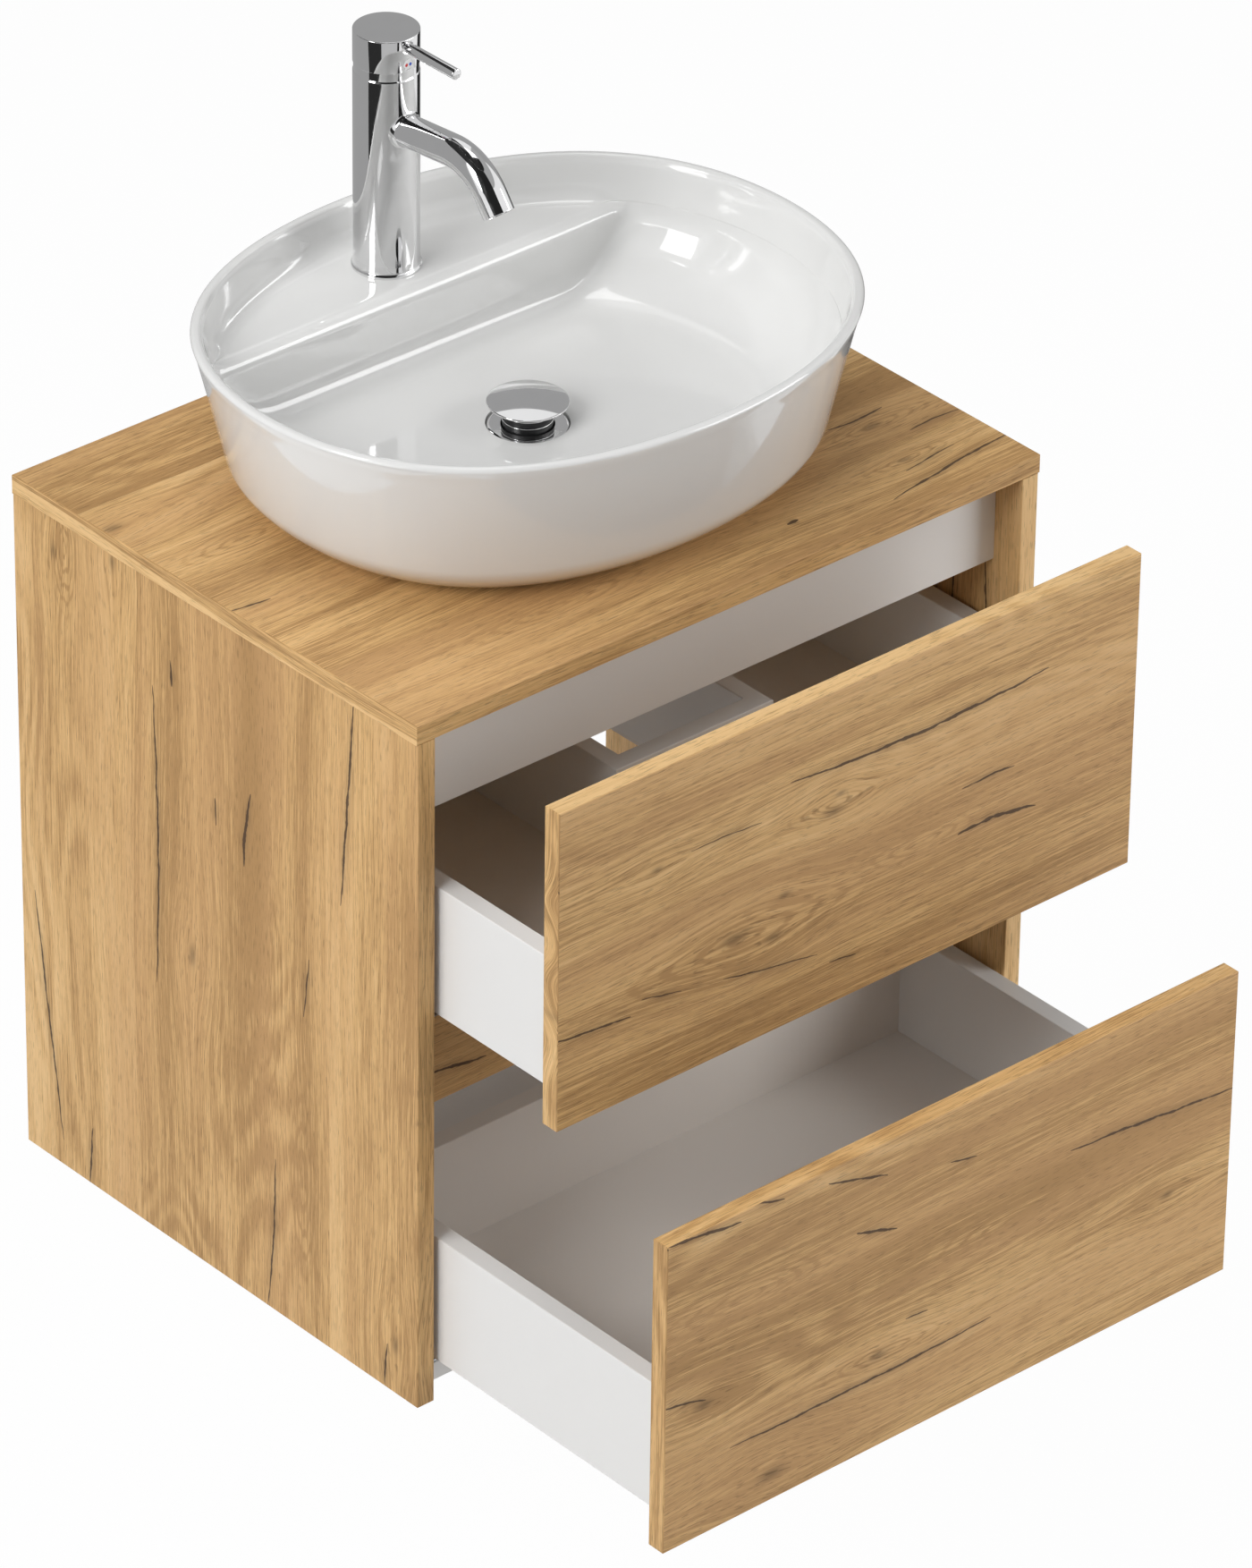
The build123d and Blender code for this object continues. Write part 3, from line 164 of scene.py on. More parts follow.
class VanityFinishes(bpy.types.PropertyGroup):
    oak_light: colour("Oak, light", "Palest wood between the growth lines", (0.79, 0.525, 0.247))
    oak_mid: colour("Oak, mid", "Main tone of the oak", (0.67, 0.415, 0.173))
    oak_dark: colour("Oak, dark", "Darkest growth lines", (0.43, 0.245, 0.094))
    oak_warm: colour("Oak, warm", "Redder wood of some bands", (0.6, 0.352, 0.155))
    crack: colour("Cracks", "Filled cracks and knots", (0.06, 0.03, 0.014))
    melamine: colour("Melamine", "White boards", (0.8, 0.795, 0.785))
    # This is the same white melamine tinted warmer, as painted warm bounce light from the oak on the drawers'
    # inner floors and backs
    warm_melamine: colour("Melamine, warm", "Floors and backs of the drawers", (0.8, 0.77, 0.735))
    glaze: colour("Glaze", "White sanitary ceramic", (0.775, 0.775, 0.765))
    chrome: colour("Chrome", "Polished chrome", (0.78, 0.78, 0.785))
    steel: colour("Steel", "Galvanised sheet steel", (0.52, 0.53, 0.54))
    zinc: colour("Zinc", "Zinc-plated fasteners", (0.6, 0.6, 0.58))
    brass: colour("Brass", "Machined brass", (0.6, 0.42, 0.17))
    nylon: colour("Nylon", "White nylon", (0.72, 0.72, 0.69))
    grey_plastic: colour("Grey plastic", "Locking clips", (0.1, 0.105, 0.115))
    black_plastic: colour("Black plastic", "Stem of the waste's plug", (0.012, 0.012, 0.013))
    rubber: colour("Rubber", "Seals", (0.02, 0.02, 0.021))
    beech: colour("Beech", "Dowels", (0.6, 0.42, 0.25))
    red: colour("Hot", "Dot on the hot side", (0.6, 0.02, 0.02))
    blue: colour("Cold", "Dot on the cold side", (0.02, 0.08, 0.5))


class VanityStage(bpy.types.PropertyGroup):
    camera_place: FloatVectorProperty(
        name="Camera", description="Where the camera stands", size=3, subtype="TRANSLATION", unit="LENGTH",
        default=(-4.168755, -5.067054, 3.758624))
    azimuth: angle("Azimuth", "Turn of the view from straight towards the wall", -41.441)
    elevation: angle("Elevation", "How far the camera looks down", 31.864)
    roll: angle("Roll", "Tilt of the camera about its own line of sight", 0.7895)
    lens: number("Lens", "Focal length in millimetres on a 36 mm frame", 230.21)
    floor_drop: length("Floor drop", "Floor below the cabinet", 0.3)
    key: number("Key light", "Strength of the large light on the left, in watts", 103.0)
    fill: number("Fill light", "Strength of the light at the front right, in watts", 47.0)
    top: number("Top light", "Strength of the light overhead, in watts", 40.0)
    ambient: number("Ambient", "Strength of the light from all round", 0.175)


# ---------------------------------------------------------------- surfaces
def add_mesh(name, points, faces):
    """Makes a smooth-shaded mesh object at the origin from points and faces of three or four corners."""
    mesh = bpy.data.meshes.new(name)
    mesh.from_pydata(np.asarray(points, float).tolist(), [], [face.tolist() for face in faces])
    mesh.update()
    mesh.shade_smooth()
    piece = bpy.data.objects.new(name, mesh)
    bpy.context.collection.objects.link(piece)
    return piece


def grid_faces(rows, columns, round_rows=False):
    """Corner numbers of the quads of a grid whose columns run round, and whose rows do too if asked."""
    last = rows if round_rows else rows - 1
    row, column = np.meshgrid(np.arange(last), np.arange(columns), indexing="ij")
    after, beside = (row + 1) % rows, (column + 1) % columns
    corners = [level * columns + place for level, place in (
        (row, column), (row, beside), (after, beside), (after, column))]
    return np.stack(corners, axis=-1).reshape(-1, 4)


def full_turn(steps):
    """Angles of equal steps round a full turn."""
    return np.linspace(0, 2 * np.pi, steps, endpoint=False)


def upright_rings(radius, height, turn):
    """Points about the upright axis at each turn. Radius and height may be columns, one value a ring."""
    return np.stack(np.broadcast_arrays(
        radius * np.cos(turn), radius * np.sin(turn), height + 0 * turn), axis=-1)


def ring_surface(name, rings, sharp=None, round_rows=False):
    """Joins rings of points, an array of rows by columns by three, into one closed surface.

    A first or last row whose points coincide is a pole, and is merged into one point. Where the rows
    run round as well, the surface is a closed ring. Edges that turn by more than the angle sharp stay
    sharp.
    """
    rows, columns, _ = rings.shape
    piece = add_mesh(name, rings.reshape(-1, 3), grid_faces(rows, columns, round_rows))
    close_surface(piece, sharp)
    return piece


def close_surface(piece, sharp=None):
    """Merges points that coincide, caps open ends, turns the faces outwards and marks sharp edges."""
    shell = bmesh.new()
    shell.from_mesh(piece.data)
    bmesh.ops.remove_doubles(shell, verts=shell.verts, dist=1e-6)
    open_edges = [edge for edge in shell.edges if edge.is_boundary]
    if open_edges:
        bmesh.ops.holes_fill(shell, edges=open_edges, sides=0)
    bmesh.ops.recalc_face_normals(shell, faces=shell.faces)
    shell.to_mesh(piece.data)
    shell.free()
    piece.data.shade_smooth()
    if sharp is not None:
        piece.data.set_sharp_from_angle(angle=sharp)


def turned(name, profile, centre, axis=(0, 0, 1), segments=128, sharp=math.radians(35)):
    """Turns a closed half profile, pairs of (radius, height), about an axis through a centre point."""
    profile = np.asarray(profile, float)
    turn = full_turn(segments)
    rings = upright_rings(profile[:, :1], profile[:, 1:], turn)
    placing = Vector((0, 0, 1)).rotation_difference(Vector(axis)).to_matrix()
    rings = rings @ np.array(placing).T + np.array(centre, float)
    closed = bool(np.all(profile[[0, -1], 0] > 0))
    return ring_surface(name, rings, sharp, round_rows=closed)


def rounded(corners, radii, steps=6):
    """Rounds the corners of an open outline: each becomes an arc that touches both of its sides.

    The arc's tangent points lie radius / tan(half the angle) from the corner, and its middle lies on the
    bisector. A radius of 0, or none, keeps the corner.
    """
    corners = np.asarray(corners, float)
    path = [corners[:1]]
    radii = [*radii, *[0] * len(corners)]
    for before, corner, after, radius in zip(corners, corners[1:], corners[2:], radii):
        if radius == 0:
            path.append(corner[None])
            continue
        back, ahead = before - corner, after - corner
        back, ahead = back / np.linalg.norm(back), ahead / np.linalg.norm(ahead)
        half = math.acos(np.clip(back @ ahead, -1, 1)) / 2
        centre = corner + (back + ahead) / np.linalg.norm(back + ahead) * radius / math.sin(half)
        start, end = corner + back * radius / math.tan(half), corner + ahead * radius / math.tan(half)
        share = np.linspace(0, 1, steps)[:, None]
        sweep = math.pi - 2 * half
        spokes = (np.sin((1 - share) * sweep) * (start - centre) + np.sin(share * sweep) * (end - centre))
        path.append(centre + spokes / math.sin(sweep))
    path.append(corners[-1:])
    return np.concatenate(path)


# ---------------------------------------------------------------- shader maths
class Amount:
    """A socket whose value varies over a surface. Its operators add Math nodes to the same tree."""

    def __init__(self, shader, socket):
        self.shader, self.socket = shader, socket

    def math(self, operation, *others):
        inputs = dict(enumerate((self, *others)))
        return self.shader.node("ShaderNodeMath", {"operation": operation}, inputs)

    __add__ = __radd__ = partialmethod(math, "ADD")
    __mul__ = __rmul__ = partialmethod(math, "MULTIPLY")
    __sub__ = partialmethod(math, "SUBTRACT")
    __truediv__ = partialmethod(math, "DIVIDE")
    __pow__ = partialmethod(math, "POWER")
    __abs__ = partialmethod(math, "ABSOLUTE")
    __gt__ = partialmethod(math, "GREATER_THAN")
    __lt__ = partialmethod(math, "LESS_THAN")

    def __rsub__(self, other):
        return self * -1 + other


class Shader:
    """The node tree of one material, or of one world."""

    def __init__(self, name, kind="materials"):
        self.owner = getattr(bpy.data, kind).new(name)
        self.owner.use_nodes = True
        self.tree = self.owner.node_tree
        self.tree.nodes.clear()

    def node(self, kind, settings=None, inputs=None, output=0):
        """Adds a node, sets its settings first and then the values or links of its sockets."""
        made = self.tree.nodes.new(kind)
        for name, value in (settings or {}).items():
            if name == "stops":
                while len(made.color_ramp.elements) < len(value):
                    made.color_ramp.elements.new(1.0)
                for stop, (place, shade) in zip(made.color_ramp.elements, value):
                    stop.position, stop.color = place, (*shade, 1.0)
            else:
                setattr(made, name, value)
        for name, value in (inputs or {}).items():
            if isinstance(value, Amount):
                self.tree.links.new(value.socket, made.inputs[name])
            else:
                made.inputs[name].default_value = value
        return Amount(self, made.outputs[output]) if made.outputs else None

    def place(self, shift=(0, 0, 0), turn=(0, 0, 0), scale=(1, 1, 1)):
        """Object coordinates, moved, turned and scaled."""
        where = self.node("ShaderNodeTexCoord", output="Object")
        return self.node("ShaderNodeMapping", None,
                         {"Vector": where, "Location": shift, "Rotation": turn, "Scale": scale})

    def parts(self, vector):
        """The three parts of a vector."""
        return [self.node("ShaderNodeSeparateXYZ", None, {0: vector}, output=axis) for axis in range(3)]

    def join(self, x, y, z):
        """A vector from three numbers."""
        return self.node("ShaderNodeCombineXYZ", None, {0: x, 1: y, 2: z})

    def noise(self, vector, scale, detail=2.0, roughness=0.5):
        """Smooth noise between about 0.25 and 0.75."""
        return self.node("ShaderNodeTexNoise", None, {
            "Vector": vector, "Scale": scale, "Detail": detail, "Roughness": roughness})

    def step(self, value, low, high, start=0.0, end=1.0):
        """Runs smoothly from start to end as a value goes from low to high, and stays there beyond."""
        return self.node("ShaderNodeMapRange", {"interpolation_type": "SMOOTHSTEP"}, {
            "Value": value, "From Min": low, "From Max": high, "To Min": start, "To Max": end})

    def blend(self, amount, first, second):
        """Mixes two colours, each a triple or a link."""
        first, second = [
            value if isinstance(value, Amount) else (*value, 1.0) for value in (first, second)]
        return self.node("ShaderNodeMix", {"data_type": "RGBA"}, {0: amount, 6: first, 7: second}, output=2)

    def shade(self, base, amount):
        """Multiplies a colour by an amount."""
        grey = self.join(amount, amount, amount)
        return self.node("ShaderNodeMix", {"data_type": "RGBA", "blend_type": "MULTIPLY"},
                         {0: 1.0, 6: base, 7: grey}, output=2)

    def bump(self, height, distance, strength=1.0):
        """A normal bent by a height between 0 and 1, times a distance in metres."""
        inputs = {"Height": height, "Distance": distance, "Strength": strength}
        return self.node("ShaderNodeBump", None, inputs)

    def glow(self, tone):
        """Even light of a grey tone, whatever falls on the face."""
        return self.node("ShaderNodeEmission", None, {"Color": (tone, tone, tone, 1), "Strength": 1.0})

    def finish(self, **inputs):
        """Ends the material in a Principled shader. Underscores in names stand for spaces."""
        sockets = {}
        for name, value in inputs.items():
            if isinstance(value, tuple) and len(value) == 3:
                value = (*value, 1.0)
            sockets[name.replace("_", " ")] = value
        surface = self.node("ShaderNodeBsdfPrincipled", None, sockets)
        self.node("ShaderNodeOutputMaterial", None, {"Surface": surface})
        return self.owner


def paint(material, *pieces):
    """Gives a material to pieces, or to CAD nodes by name."""
    for piece in pieces:
        if isinstance(piece, str):
            piece = frame["nodes"][piece]
        piece.data.materials.clear()
        piece.data.materials.append(material)


def tint(name, share=1.0):
    """A colour of the finishes panel, times a share."""
    return tuple(share * part for part in getattr(bpy.context.scene.vanity_finishes, name))


def stand_in(piece, body, slot, *nodes):
    """Makes a piece ride on a body in place of CAD nodes. Its slot argument is not used."""
    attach(piece, body)
    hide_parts(*nodes)


# ---------------------------------------------------------------- oak
def crack(shader, along, across, wobble, fray, mark):
    """Masks of one filled crack: 1 on a thin wavy line, and 1 fading out round it.

    A mark is (start, level, end, end level, bow, width) in millimetres. The share of the way from start
    to end, times what is left of it, times 4, gives a hump that is 0 at both ends and 1 halfway. The line
    runs straight between the levels, plus the hump times the bow, and its width follows the hump's root.
    """
    start, level, end, end_level, bow, width = (part * MM for part in mark)
    share = (along - start) / (end - start)
    hump = (share * (1 - share) * 4).math("MAXIMUM", 0.0)
    away = abs(across - level - share * (end_level - level) - hump * bow - wobble)
    line = shader.step(away - hump ** 0.5 * fray * (width / 2), 0.5 * MM, -0.1 * MM)
    return line * (hump > 0), shader.step(away, 9 * MM, 0) * hump


def knot_masks(along, across, knots):
    """Bends the coordinate across the grain round knots, and returns it with the mask of their cores.

    Distance along the grain counts less than half. Near a knot the coordinate closes up on the knot's
    middle by a bell curve three times its size, so the lines that follow it pass round the knot.
    """
    cores, lines = 0.0, across
    for start, level, size in knots:
        away = ((along - start * MM) * 0.42) ** 2 + (across - level * MM) ** 2
        pull = (away * (-0.5 / (3 * size * MM) ** 2)).math("EXPONENT")
        lines = lines - (across - level * MM) * pull * 0.65
        cores = (away * (-0.5 / (0.4 * size * MM) ** 2)).math("EXPONENT") + cores
    return lines, cores


def figure_lines(shader, along, level, warp, figures):
    """Dark growth lines that close into long ovals: contours of the distance to a figure's middle.

    A figure is (along, level, half length, half width) in millimetres. The distance counts in halves of
    the oval, bent by a slow noise; the lines are where the sine of its turns is high, fading to its rim.
    """
    lines = 0.0
    for middle_along, middle_level, half_length, half_width in figures:
        reach = (((along - middle_along * MM) / (half_length * MM)) ** 2
                 + ((level - middle_level * MM) / (half_width * MM)) ** 2) ** 0.5 + warp
        rings = shader.step((reach * (2 * math.pi * 5)).math("SINE"), 0.1, 1.0)
        lines = (rings * shader.step(reach, 1.1, 0.35)).math("MAXIMUM", lines)
    return lines


def oak(name, face, seed, cracks, knots, figures):
    """Oak-faced board. face is the axis that its face looks along; X has upright grain, Y and Z have level.

    Bands, streaks and fibres are three noises drawn out along the grain, each finer than the last. The
    growth figure is the sine of a slow noise times many turns, so that its lines are contours that close
    into arches, and it shows in parts of the board only. Pores are short dark dashes. The thin faces have
    a paler edge band, whose grain runs along the edge.
    """
    shader = Shader(name)
    x, y, z = shader.parts(shader.place())
    look = [abs(part) for part in shader.parts(shader.node("ShaderNodeTexCoord", output="Normal"))]
    rim = look["XYZ".index(face)] < 0.5
    if face == "X":
        along, level, across = z, y, y + x * 0.7
    else:
        long_edge, thin = (z, y) if face == "Y" else (y, z)
        ends = look[0] > 0.5
        level = long_edge
        along = x + (long_edge - x) * ends
        across = (long_edge + thin * 0.7) * (1 - ends) + (thin + 0.3 * x) * ends
    lines, cores = knot_masks(along, level, knots)
    lines = across + lines - level

    def grain(lengthwise, crosswise, shift=seed, detail=2.0, roughness=0.5):
        """Noise with so many cells a metre along the grain and across its lines."""
        return shader.noise(shader.join(along * lengthwise, lines * crosswise, shift), 1.0, detail, roughness)

    warp = grain(2.6, 9.0, detail=1.0) - 0.5
    lines = lines + warp * 0.022
    plank = shader.node("ShaderNodeTexWhiteNoise", {"noise_dimensions": "1D"},
                        {"W": (lines / 0.112 + seed).math("FLOOR")}, output="Value")
    bands = grain(0.9, 26.0, plank * 9.0 + seed, 3.0) - 0.5
    streaks = grain(2.6, 260.0, seed, 3.0, 0.6) - 0.5
    fibres = grain(20.0, 950.0, seed, 3.0, 0.6) - 0.5
    pores = shader.step(grain(75.0, 1500.0, detail=1.0), 0.58, 0.68)
    slow = grain(1.7, 7.0, plank * 5.0 + seed, 1.5)
    arches = (slow * (2 * math.pi * 26)).math("SINE") * 0.5
    shown = shader.step(grain(1.3, 8.0, seed + 4.0), 0.46, 0.62)
    warm = shader.step(grain(1.4, 17.0, seed + 8.0), 0.42, 0.62)
    ovals = figure_lines(shader, along, level, warp * 0.9 + streaks * 0.25, figures)
    smoke = shader.step(grain(3.2, 13.0, seed + 2.0, 3.0), 0.5, 0.72)
    tone = bands * 1.4 + streaks * 0.7 + fibres * 1.5 + arches * shown * 0.3 + (plank - 0.5) * 0.34 + 0.52
    tone = tone + rim * 0.12 - (smoke * 0.25 + ovals * 0.3) * (1 - rim)
    wood = shader.node("ShaderNodeValToRGB", {
        "stops": [(0.14, tint("oak_dark")), (0.5, tint("oak_mid")), (0.86, tint("oak_light"))]}, {0: tone})
    wood = shader.blend(warm * 0.45 * (1 - rim), wood, tint("oak_warm"))
    wood = shader.shade(wood, (1 - pores * 0.3) * (1 - (cores * 0.45).math("MINIMUM", 0.45)))
    wobble = (shader.noise(shader.join(along * 34.0, seed, 0.0), 1.0, detail=3.0) - 0.5) * 0.0045
    fray = shader.noise(shader.join(along * 120.0, level * 30.0, seed), 1.0, detail=3.0) * 2.6 - 0.35
    mask, halo = 0.0, 0.0
    for mark in cracks:
        line, shade = crack(shader, along, level, wobble, fray, mark)
        mask, halo = line.math("MAXIMUM", mask), shade.math("MAXIMUM", halo)
    mask = mask * (1 - rim)
    wood = shader.shade(wood, 1 - halo * (1 - rim) * 0.2)
    wood = shader.blend(mask * 0.9, wood, tint("crack"))
    height = fibres * 0.6 + streaks * 0.3 - pores * 0.5 - mask
    return shader.finish(
        Base_Color=wood, Roughness=shader.step(tone, 0.2, 0.8, 0.55, 0.45) + pores * 0.1,
        Normal=shader.bump(height, 0.00015, 0.8), Specular_IOR_Level=0.3)


# ---------------------------------------------------------------- other finishes
def melamine(name, white):
    """White melamine-faced board: a fine pressed texture under a satin face."""
    shader = Shader(name)
    where = shader.place()
    cloud = shader.noise(where, 9.0, detail=3.0)
    grain = shader.noise(where, 1400.0, detail=2.0)
    return shader.finish(
        Base_Color=shader.blend(cloud, tuple(0.965 * part for part in white), white),
        Roughness=cloud * 0.1 + 0.35, Normal=shader.bump(grain, 0.00004, 0.6), Specular_IOR_Level=0.4)


def mottled(name, base, dim, cloud, rough, relief=(), stretch=(1, 1, 1), **shine):
    """A finish whose tone, from dim times the base to the base, and gloss vary together in a smooth noise.

    cloud is the scale and the detail of that noise. relief, where there is one, is the scale, the detail,
    the depth in metres and the strength of a second noise that the face stands out by.
    """
    shader = Shader(name)
    smear = shader.noise(shader.place(scale=stretch), *cloud)
    if relief:
        shine["Normal"] = shader.bump(shader.noise(shader.place(), *relief[:2]), *relief[2:])
    return shader.finish(Base_Color=shader.blend(smear, tuple(dim * part for part in base), base),
                         Roughness=shader.step(smear, 0.3, 0.7, *rough), **shine)


def glazed(name):
    """Sanitary ceramic: white body under a glossy glaze that is a little wavy."""
    return mottled(name, tint("glaze"), 0.985, (5.0, 3.0), (0.06, 0.1), (22.0, 1.0, 0.0006, 0.12),
                   Coat_Weight=0.6, Coat_Roughness=0.02, Coat_IOR=1.5)


def metal(name, base, rough=(0.03, 0.07), scale=60.0, stretch=(1, 1, 1)):
    """Bare or plated metal: its gloss varies in faint smears."""
    return mottled(name, base, 0.95, (scale, 3.0), rough, stretch=stretch, Metallic=1.0)


def moulded(name, base, rough=0.42, grain=700.0):
    """Moulded plastic or rubber: a fine even grain and slightly uneven gloss."""
    return mottled(name, base, 0.9, (30.0, 2.0), (rough - 0.05, rough + 0.05), (grain, 1.0, 0.00003, 0.5))


def galvanised(name):
    """Galvanised sheet steel: a spangle of small crystals, each with its own tone and gloss."""
    shader = Shader(name)
    where = shader.place()
    crystal = shader.node("ShaderNodeTexVoronoi", None, {"Vector": where, "Scale": 240.0}, output="Color")
    tone = shader.parts(crystal)[0]
    fine = shader.noise(where, 900.0, detail=2.0)
    return shader.finish(
        Base_Color=shader.blend(tone, tint("steel", 0.72), tint("steel")), Metallic=1.0,
        Roughness=tone * 0.14 + 0.28, Normal=shader.bump(fine, 0.00002, 0.4))


def plain_wood(name):
    """Beech dowels: fine lines along the dowel and small flecks."""
    shader = Shader(name)
    lines = shader.noise(shader.place(scale=(1, 12, 12)), 90.0, detail=3.0)
    flecks = shader.step(shader.noise(shader.place(scale=(1, 3, 3)), 400.0), 0.6, 0.7)
    wood = shader.blend(lines, tint("beech", 0.78), tint("beech"))
    return shader.finish(Base_Color=shader.shade(wood, 1 - flecks * 0.2), Roughness=lines * 0.2 + 0.5,
                         Normal=shader.bump(lines, 0.00005, 0.5))


def dotted_disc(name, centre):
    """White disc with a red dot on its left and a blue dot on its right."""
    shader = Shader(name)
    x, _, z = shader.parts(shader.place(shift=tuple(-part for part in centre)))
    face = (0.8, 0.8, 0.8)
    for side, dot in ((-1, "red"), (1, "blue")):
        away = ((x - side * 1.8 * MM) ** 2 + z ** 2) ** 0.5
        face = shader.blend(shader.step(away, 1.45 * MM, 1.25 * MM), face, tint(dot))
    gloss = shader.noise(shader.place(), 300.0)
    return shader.finish(Base_Color=face, Roughness=gloss * 0.1 + 0.15, Coat_Weight=0.5)


def screen(name, axis):
    """Chrome ring whose middle is a fine mesh: crossing grey metal bars, with the square holes between them
    painted near-black as painted shade of the bore behind.
    """
    shader = Shader(name)
    turned_back = Vector(axis).rotation_difference(Vector((0, 0, 1))).to_euler()
    x, y, _ = shader.parts(shader.place(turn=tuple(turned_back)))
    pitch = 1.1 * MM
    across, along = (abs((part / pitch).math("FRACT") - 0.5) for part in (x, y))
    bar = shader.step(across.math("MAXIMUM", along), 0.3, 0.36)
    return shader.finish(
        # The holes' near-black colour is painted shade of the bore that would be seen through them
        Base_Color=shader.blend(bar, (0.015, 0.015, 0.016), (0.45, 0.45, 0.46)), Metallic=bar,
        Roughness=shader.step(bar, 0.0, 1.0, 0.6, 0.25))


# ---------------------------------------------------------------- basin
def basin_oval(turn, half_width, half_depth, fullness):
    """An ellipse whose radius grows by fullness times the squared sine of twice the turn."""
    swell = 1 + fullness * np.sin(2 * turn) ** 2
    return half_width * np.cos(turn) * swell, half_depth * np.sin(turn) * swell


def soft_least(first, second, softness):
    """The smaller of two values, with a smooth change-over of about the given size."""
    gap = (second - first) / softness
    return first - softness * np.logaddexp(0.0, -gap)


def basin_rings(sizes, columns=360):
    """Rings of the basin from the waste hole over the bowl, the rim and the outer wall to the foot.

    Every ring is the oval of its height, inset by the lean, by a quarter of an ellipse that rolls the
    bowl's wall into its floor, and by a parabola that rolls the outer wall under the foot. Below the deck
    a ring stops softly at the deck's front face, whose place is rounded in quarter circles at its foot and
    its head. The deck is the strip between that line and the oval: rings that share one height step back
    across it, and then climb the rounding at its rear.
    """
    turn = full_turn(columns)
    deck = DECK - TOP

    def oval(height, inset):
        fall = sizes.height - height
        return basin_oval(turn, sizes.half_width - sizes.side_lean * fall - inset,
                          sizes.half_depth - sizes.end_lean * fall - inset, sizes.fullness)

    def outer(height, extra=0.0):
        return oval(height, sizes.foot_tuck * max(0.0, 1 - height / sizes.foot_round) ** 2 + extra)

    def bowl(height):
        roll = max(0.0, 1 - (height - sizes.bowl_floor) / sizes.bowl_round)
        return oval(height, sizes.wall + sizes.bowl_tuck * (1 - math.sqrt(1 - roll ** 2)))

    rings = []

    def ring(x, y, height):
        rings.append(np.stack([x, y, height + 0 * turn], axis=-1))

    waste_radius, recess_radius = 23 * MM, 31.1 * MM
    flange = high("waste_flange", Z) - TOP
    x, y = np.cos(turn), np.sin(turn)
    seat = flange - 4 * MM
    for radius, height in ((waste_radius, 0.0), (waste_radius, seat), (recess_radius, seat),
                           (recess_radius, flange - 0.4 * MM)):
        ring(radius * x, radius * y, height)
    for radius in np.linspace(recess_radius + 0.4 * MM, sizes.dish_radius, 7):
        fall = 0.5 + 0.5 * np.cos(np.pi * radius / sizes.dish_radius)
        ring(radius * x, radius * y, sizes.bowl_floor - sizes.dish * fall)
    floor_x, floor_y = bowl(sizes.bowl_floor)
    floor_y = soft_least(floor_y, sizes.deck_front - sizes.deck_root, sizes.corner)
    for mix in np.linspace(0, 1, 9)[1:-1]:
        start = sizes.dish_radius * (1 - mix)
        ring(x * start + floor_x * mix, y * start + floor_y * mix, sizes.bowl_floor)

    quarter = np.linspace(0, np.pi / 2, 9)
    root_heights = sizes.bowl_floor + sizes.deck_root * (1 - np.cos(quarter))
    root_lines = sizes.deck_front - sizes.deck_root * (1 - np.sin(quarter))
    face_heights = np.linspace(root_heights[-1], deck - sizes.deck_edge, 14)[1:]
    edge_heights = deck - sizes.deck_edge * (1 - np.sin(quarter[1:]))
    edge_lines = sizes.deck_front + sizes.deck_edge * (1 - np.cos(quarter[1:]))
    heights = np.concatenate([root_heights, face_heights, edge_heights])
    lines = np.concatenate([root_lines, sizes.deck_front + 0 * face_heights, edge_lines])
    for height, line in zip(heights, lines):
        x, y = bowl(height)
        ring(x, soft_least(y, line, sizes.corner), height)

    x, y = bowl(deck)
    line = sizes.deck_front + sizes.deck_edge
    front = soft_least(y, line, sizes.corner)
    depth = y - front
    rear = np.minimum(sizes.deck_rear, depth)
    lift = 1.2 * MM * np.exp(-depth / (4 * MM))  # the deck climbs a little where it narrows to its ends
    for step in np.linspace(0, 1, 17)[1:]:
        ring(x, front + (depth - rear) * step, deck + lift * step)
    for angle in quarter[1:]:
        rise = 1 - np.cos(angle)
        height = deck + lift + (sizes.deck_rear - lift) * rise
        x, y = bowl(deck + sizes.deck_rear * rise)
        ring(x, y - rear * (1 - np.sin(angle)), height)

    rim = sizes.rim_round
    for height in np.linspace(deck + sizes.deck_rear, sizes.height - rim, 7)[1:]:
        ring(*bowl(height), height)
    for angle in quarter[1:]:
        x, y = outer(sizes.height, sizes.wall - rim * (1 - np.cos(angle)))
        ring(x, y, sizes.height - rim * (1 - np.sin(angle)))
    for angle in quarter:
        x, y = outer(sizes.height, rim * (1 - np.sin(angle)))
        ring(x, y, sizes.height - rim * (1 - np.cos(angle)))
    wall_heights = np.linspace(sizes.height - rim, sizes.foot_round, 14)[1:]
    foot_heights = sizes.foot_round * (1 - np.sin(np.linspace(0, np.pi / 2, 20)[1:]))
    for height in np.concatenate([wall_heights, foot_heights]):
        ring(*outer(height), height)
    foot_x, foot_y = outer(0.0)
    for mix in (0.05, 0.5):
        hole = waste_radius * mix
        ring(foot_x * (1 - mix) + hole * np.cos(turn), foot_y * (1 - mix) + hole * np.sin(turn), 0.0)
    return np.array(rings)


class VANITY_OT_basin(bpy.types.Operator):
    """The oval basin with its tap deck, from the waste hole to the foot"""
    bl_idname = "vanity.basin"
    bl_label = "Basin"

    def execute(self, context):
        sizes = context.scene.vanity_basin
        rings = basin_rings(sizes) + np.array([middle("basin", X), middle("basin", Y), TOP])
        basin = ring_surface("glazed_basin", rings, sharp=math.radians(40), round_rows=True)
        paint(glazed("white_glaze"), basin)
        stand_in(basin, "cabinet", "ceramic", "basin")
        return {"FINISHED"}


# ---------------------------------------------------------------- tap
def chrome():
    """The polished chrome of the tap and the waste, made once."""
    return bpy.data.materials.get("polished_chrome") or metal("polished_chrome", tint("chrome"))


def tap_point(forward, up):
    """A point on the tap's middle plane, forward of its axis and above the deck."""
    return np.array([PIVOT.x, PIVOT.y - forward, DECK + up])


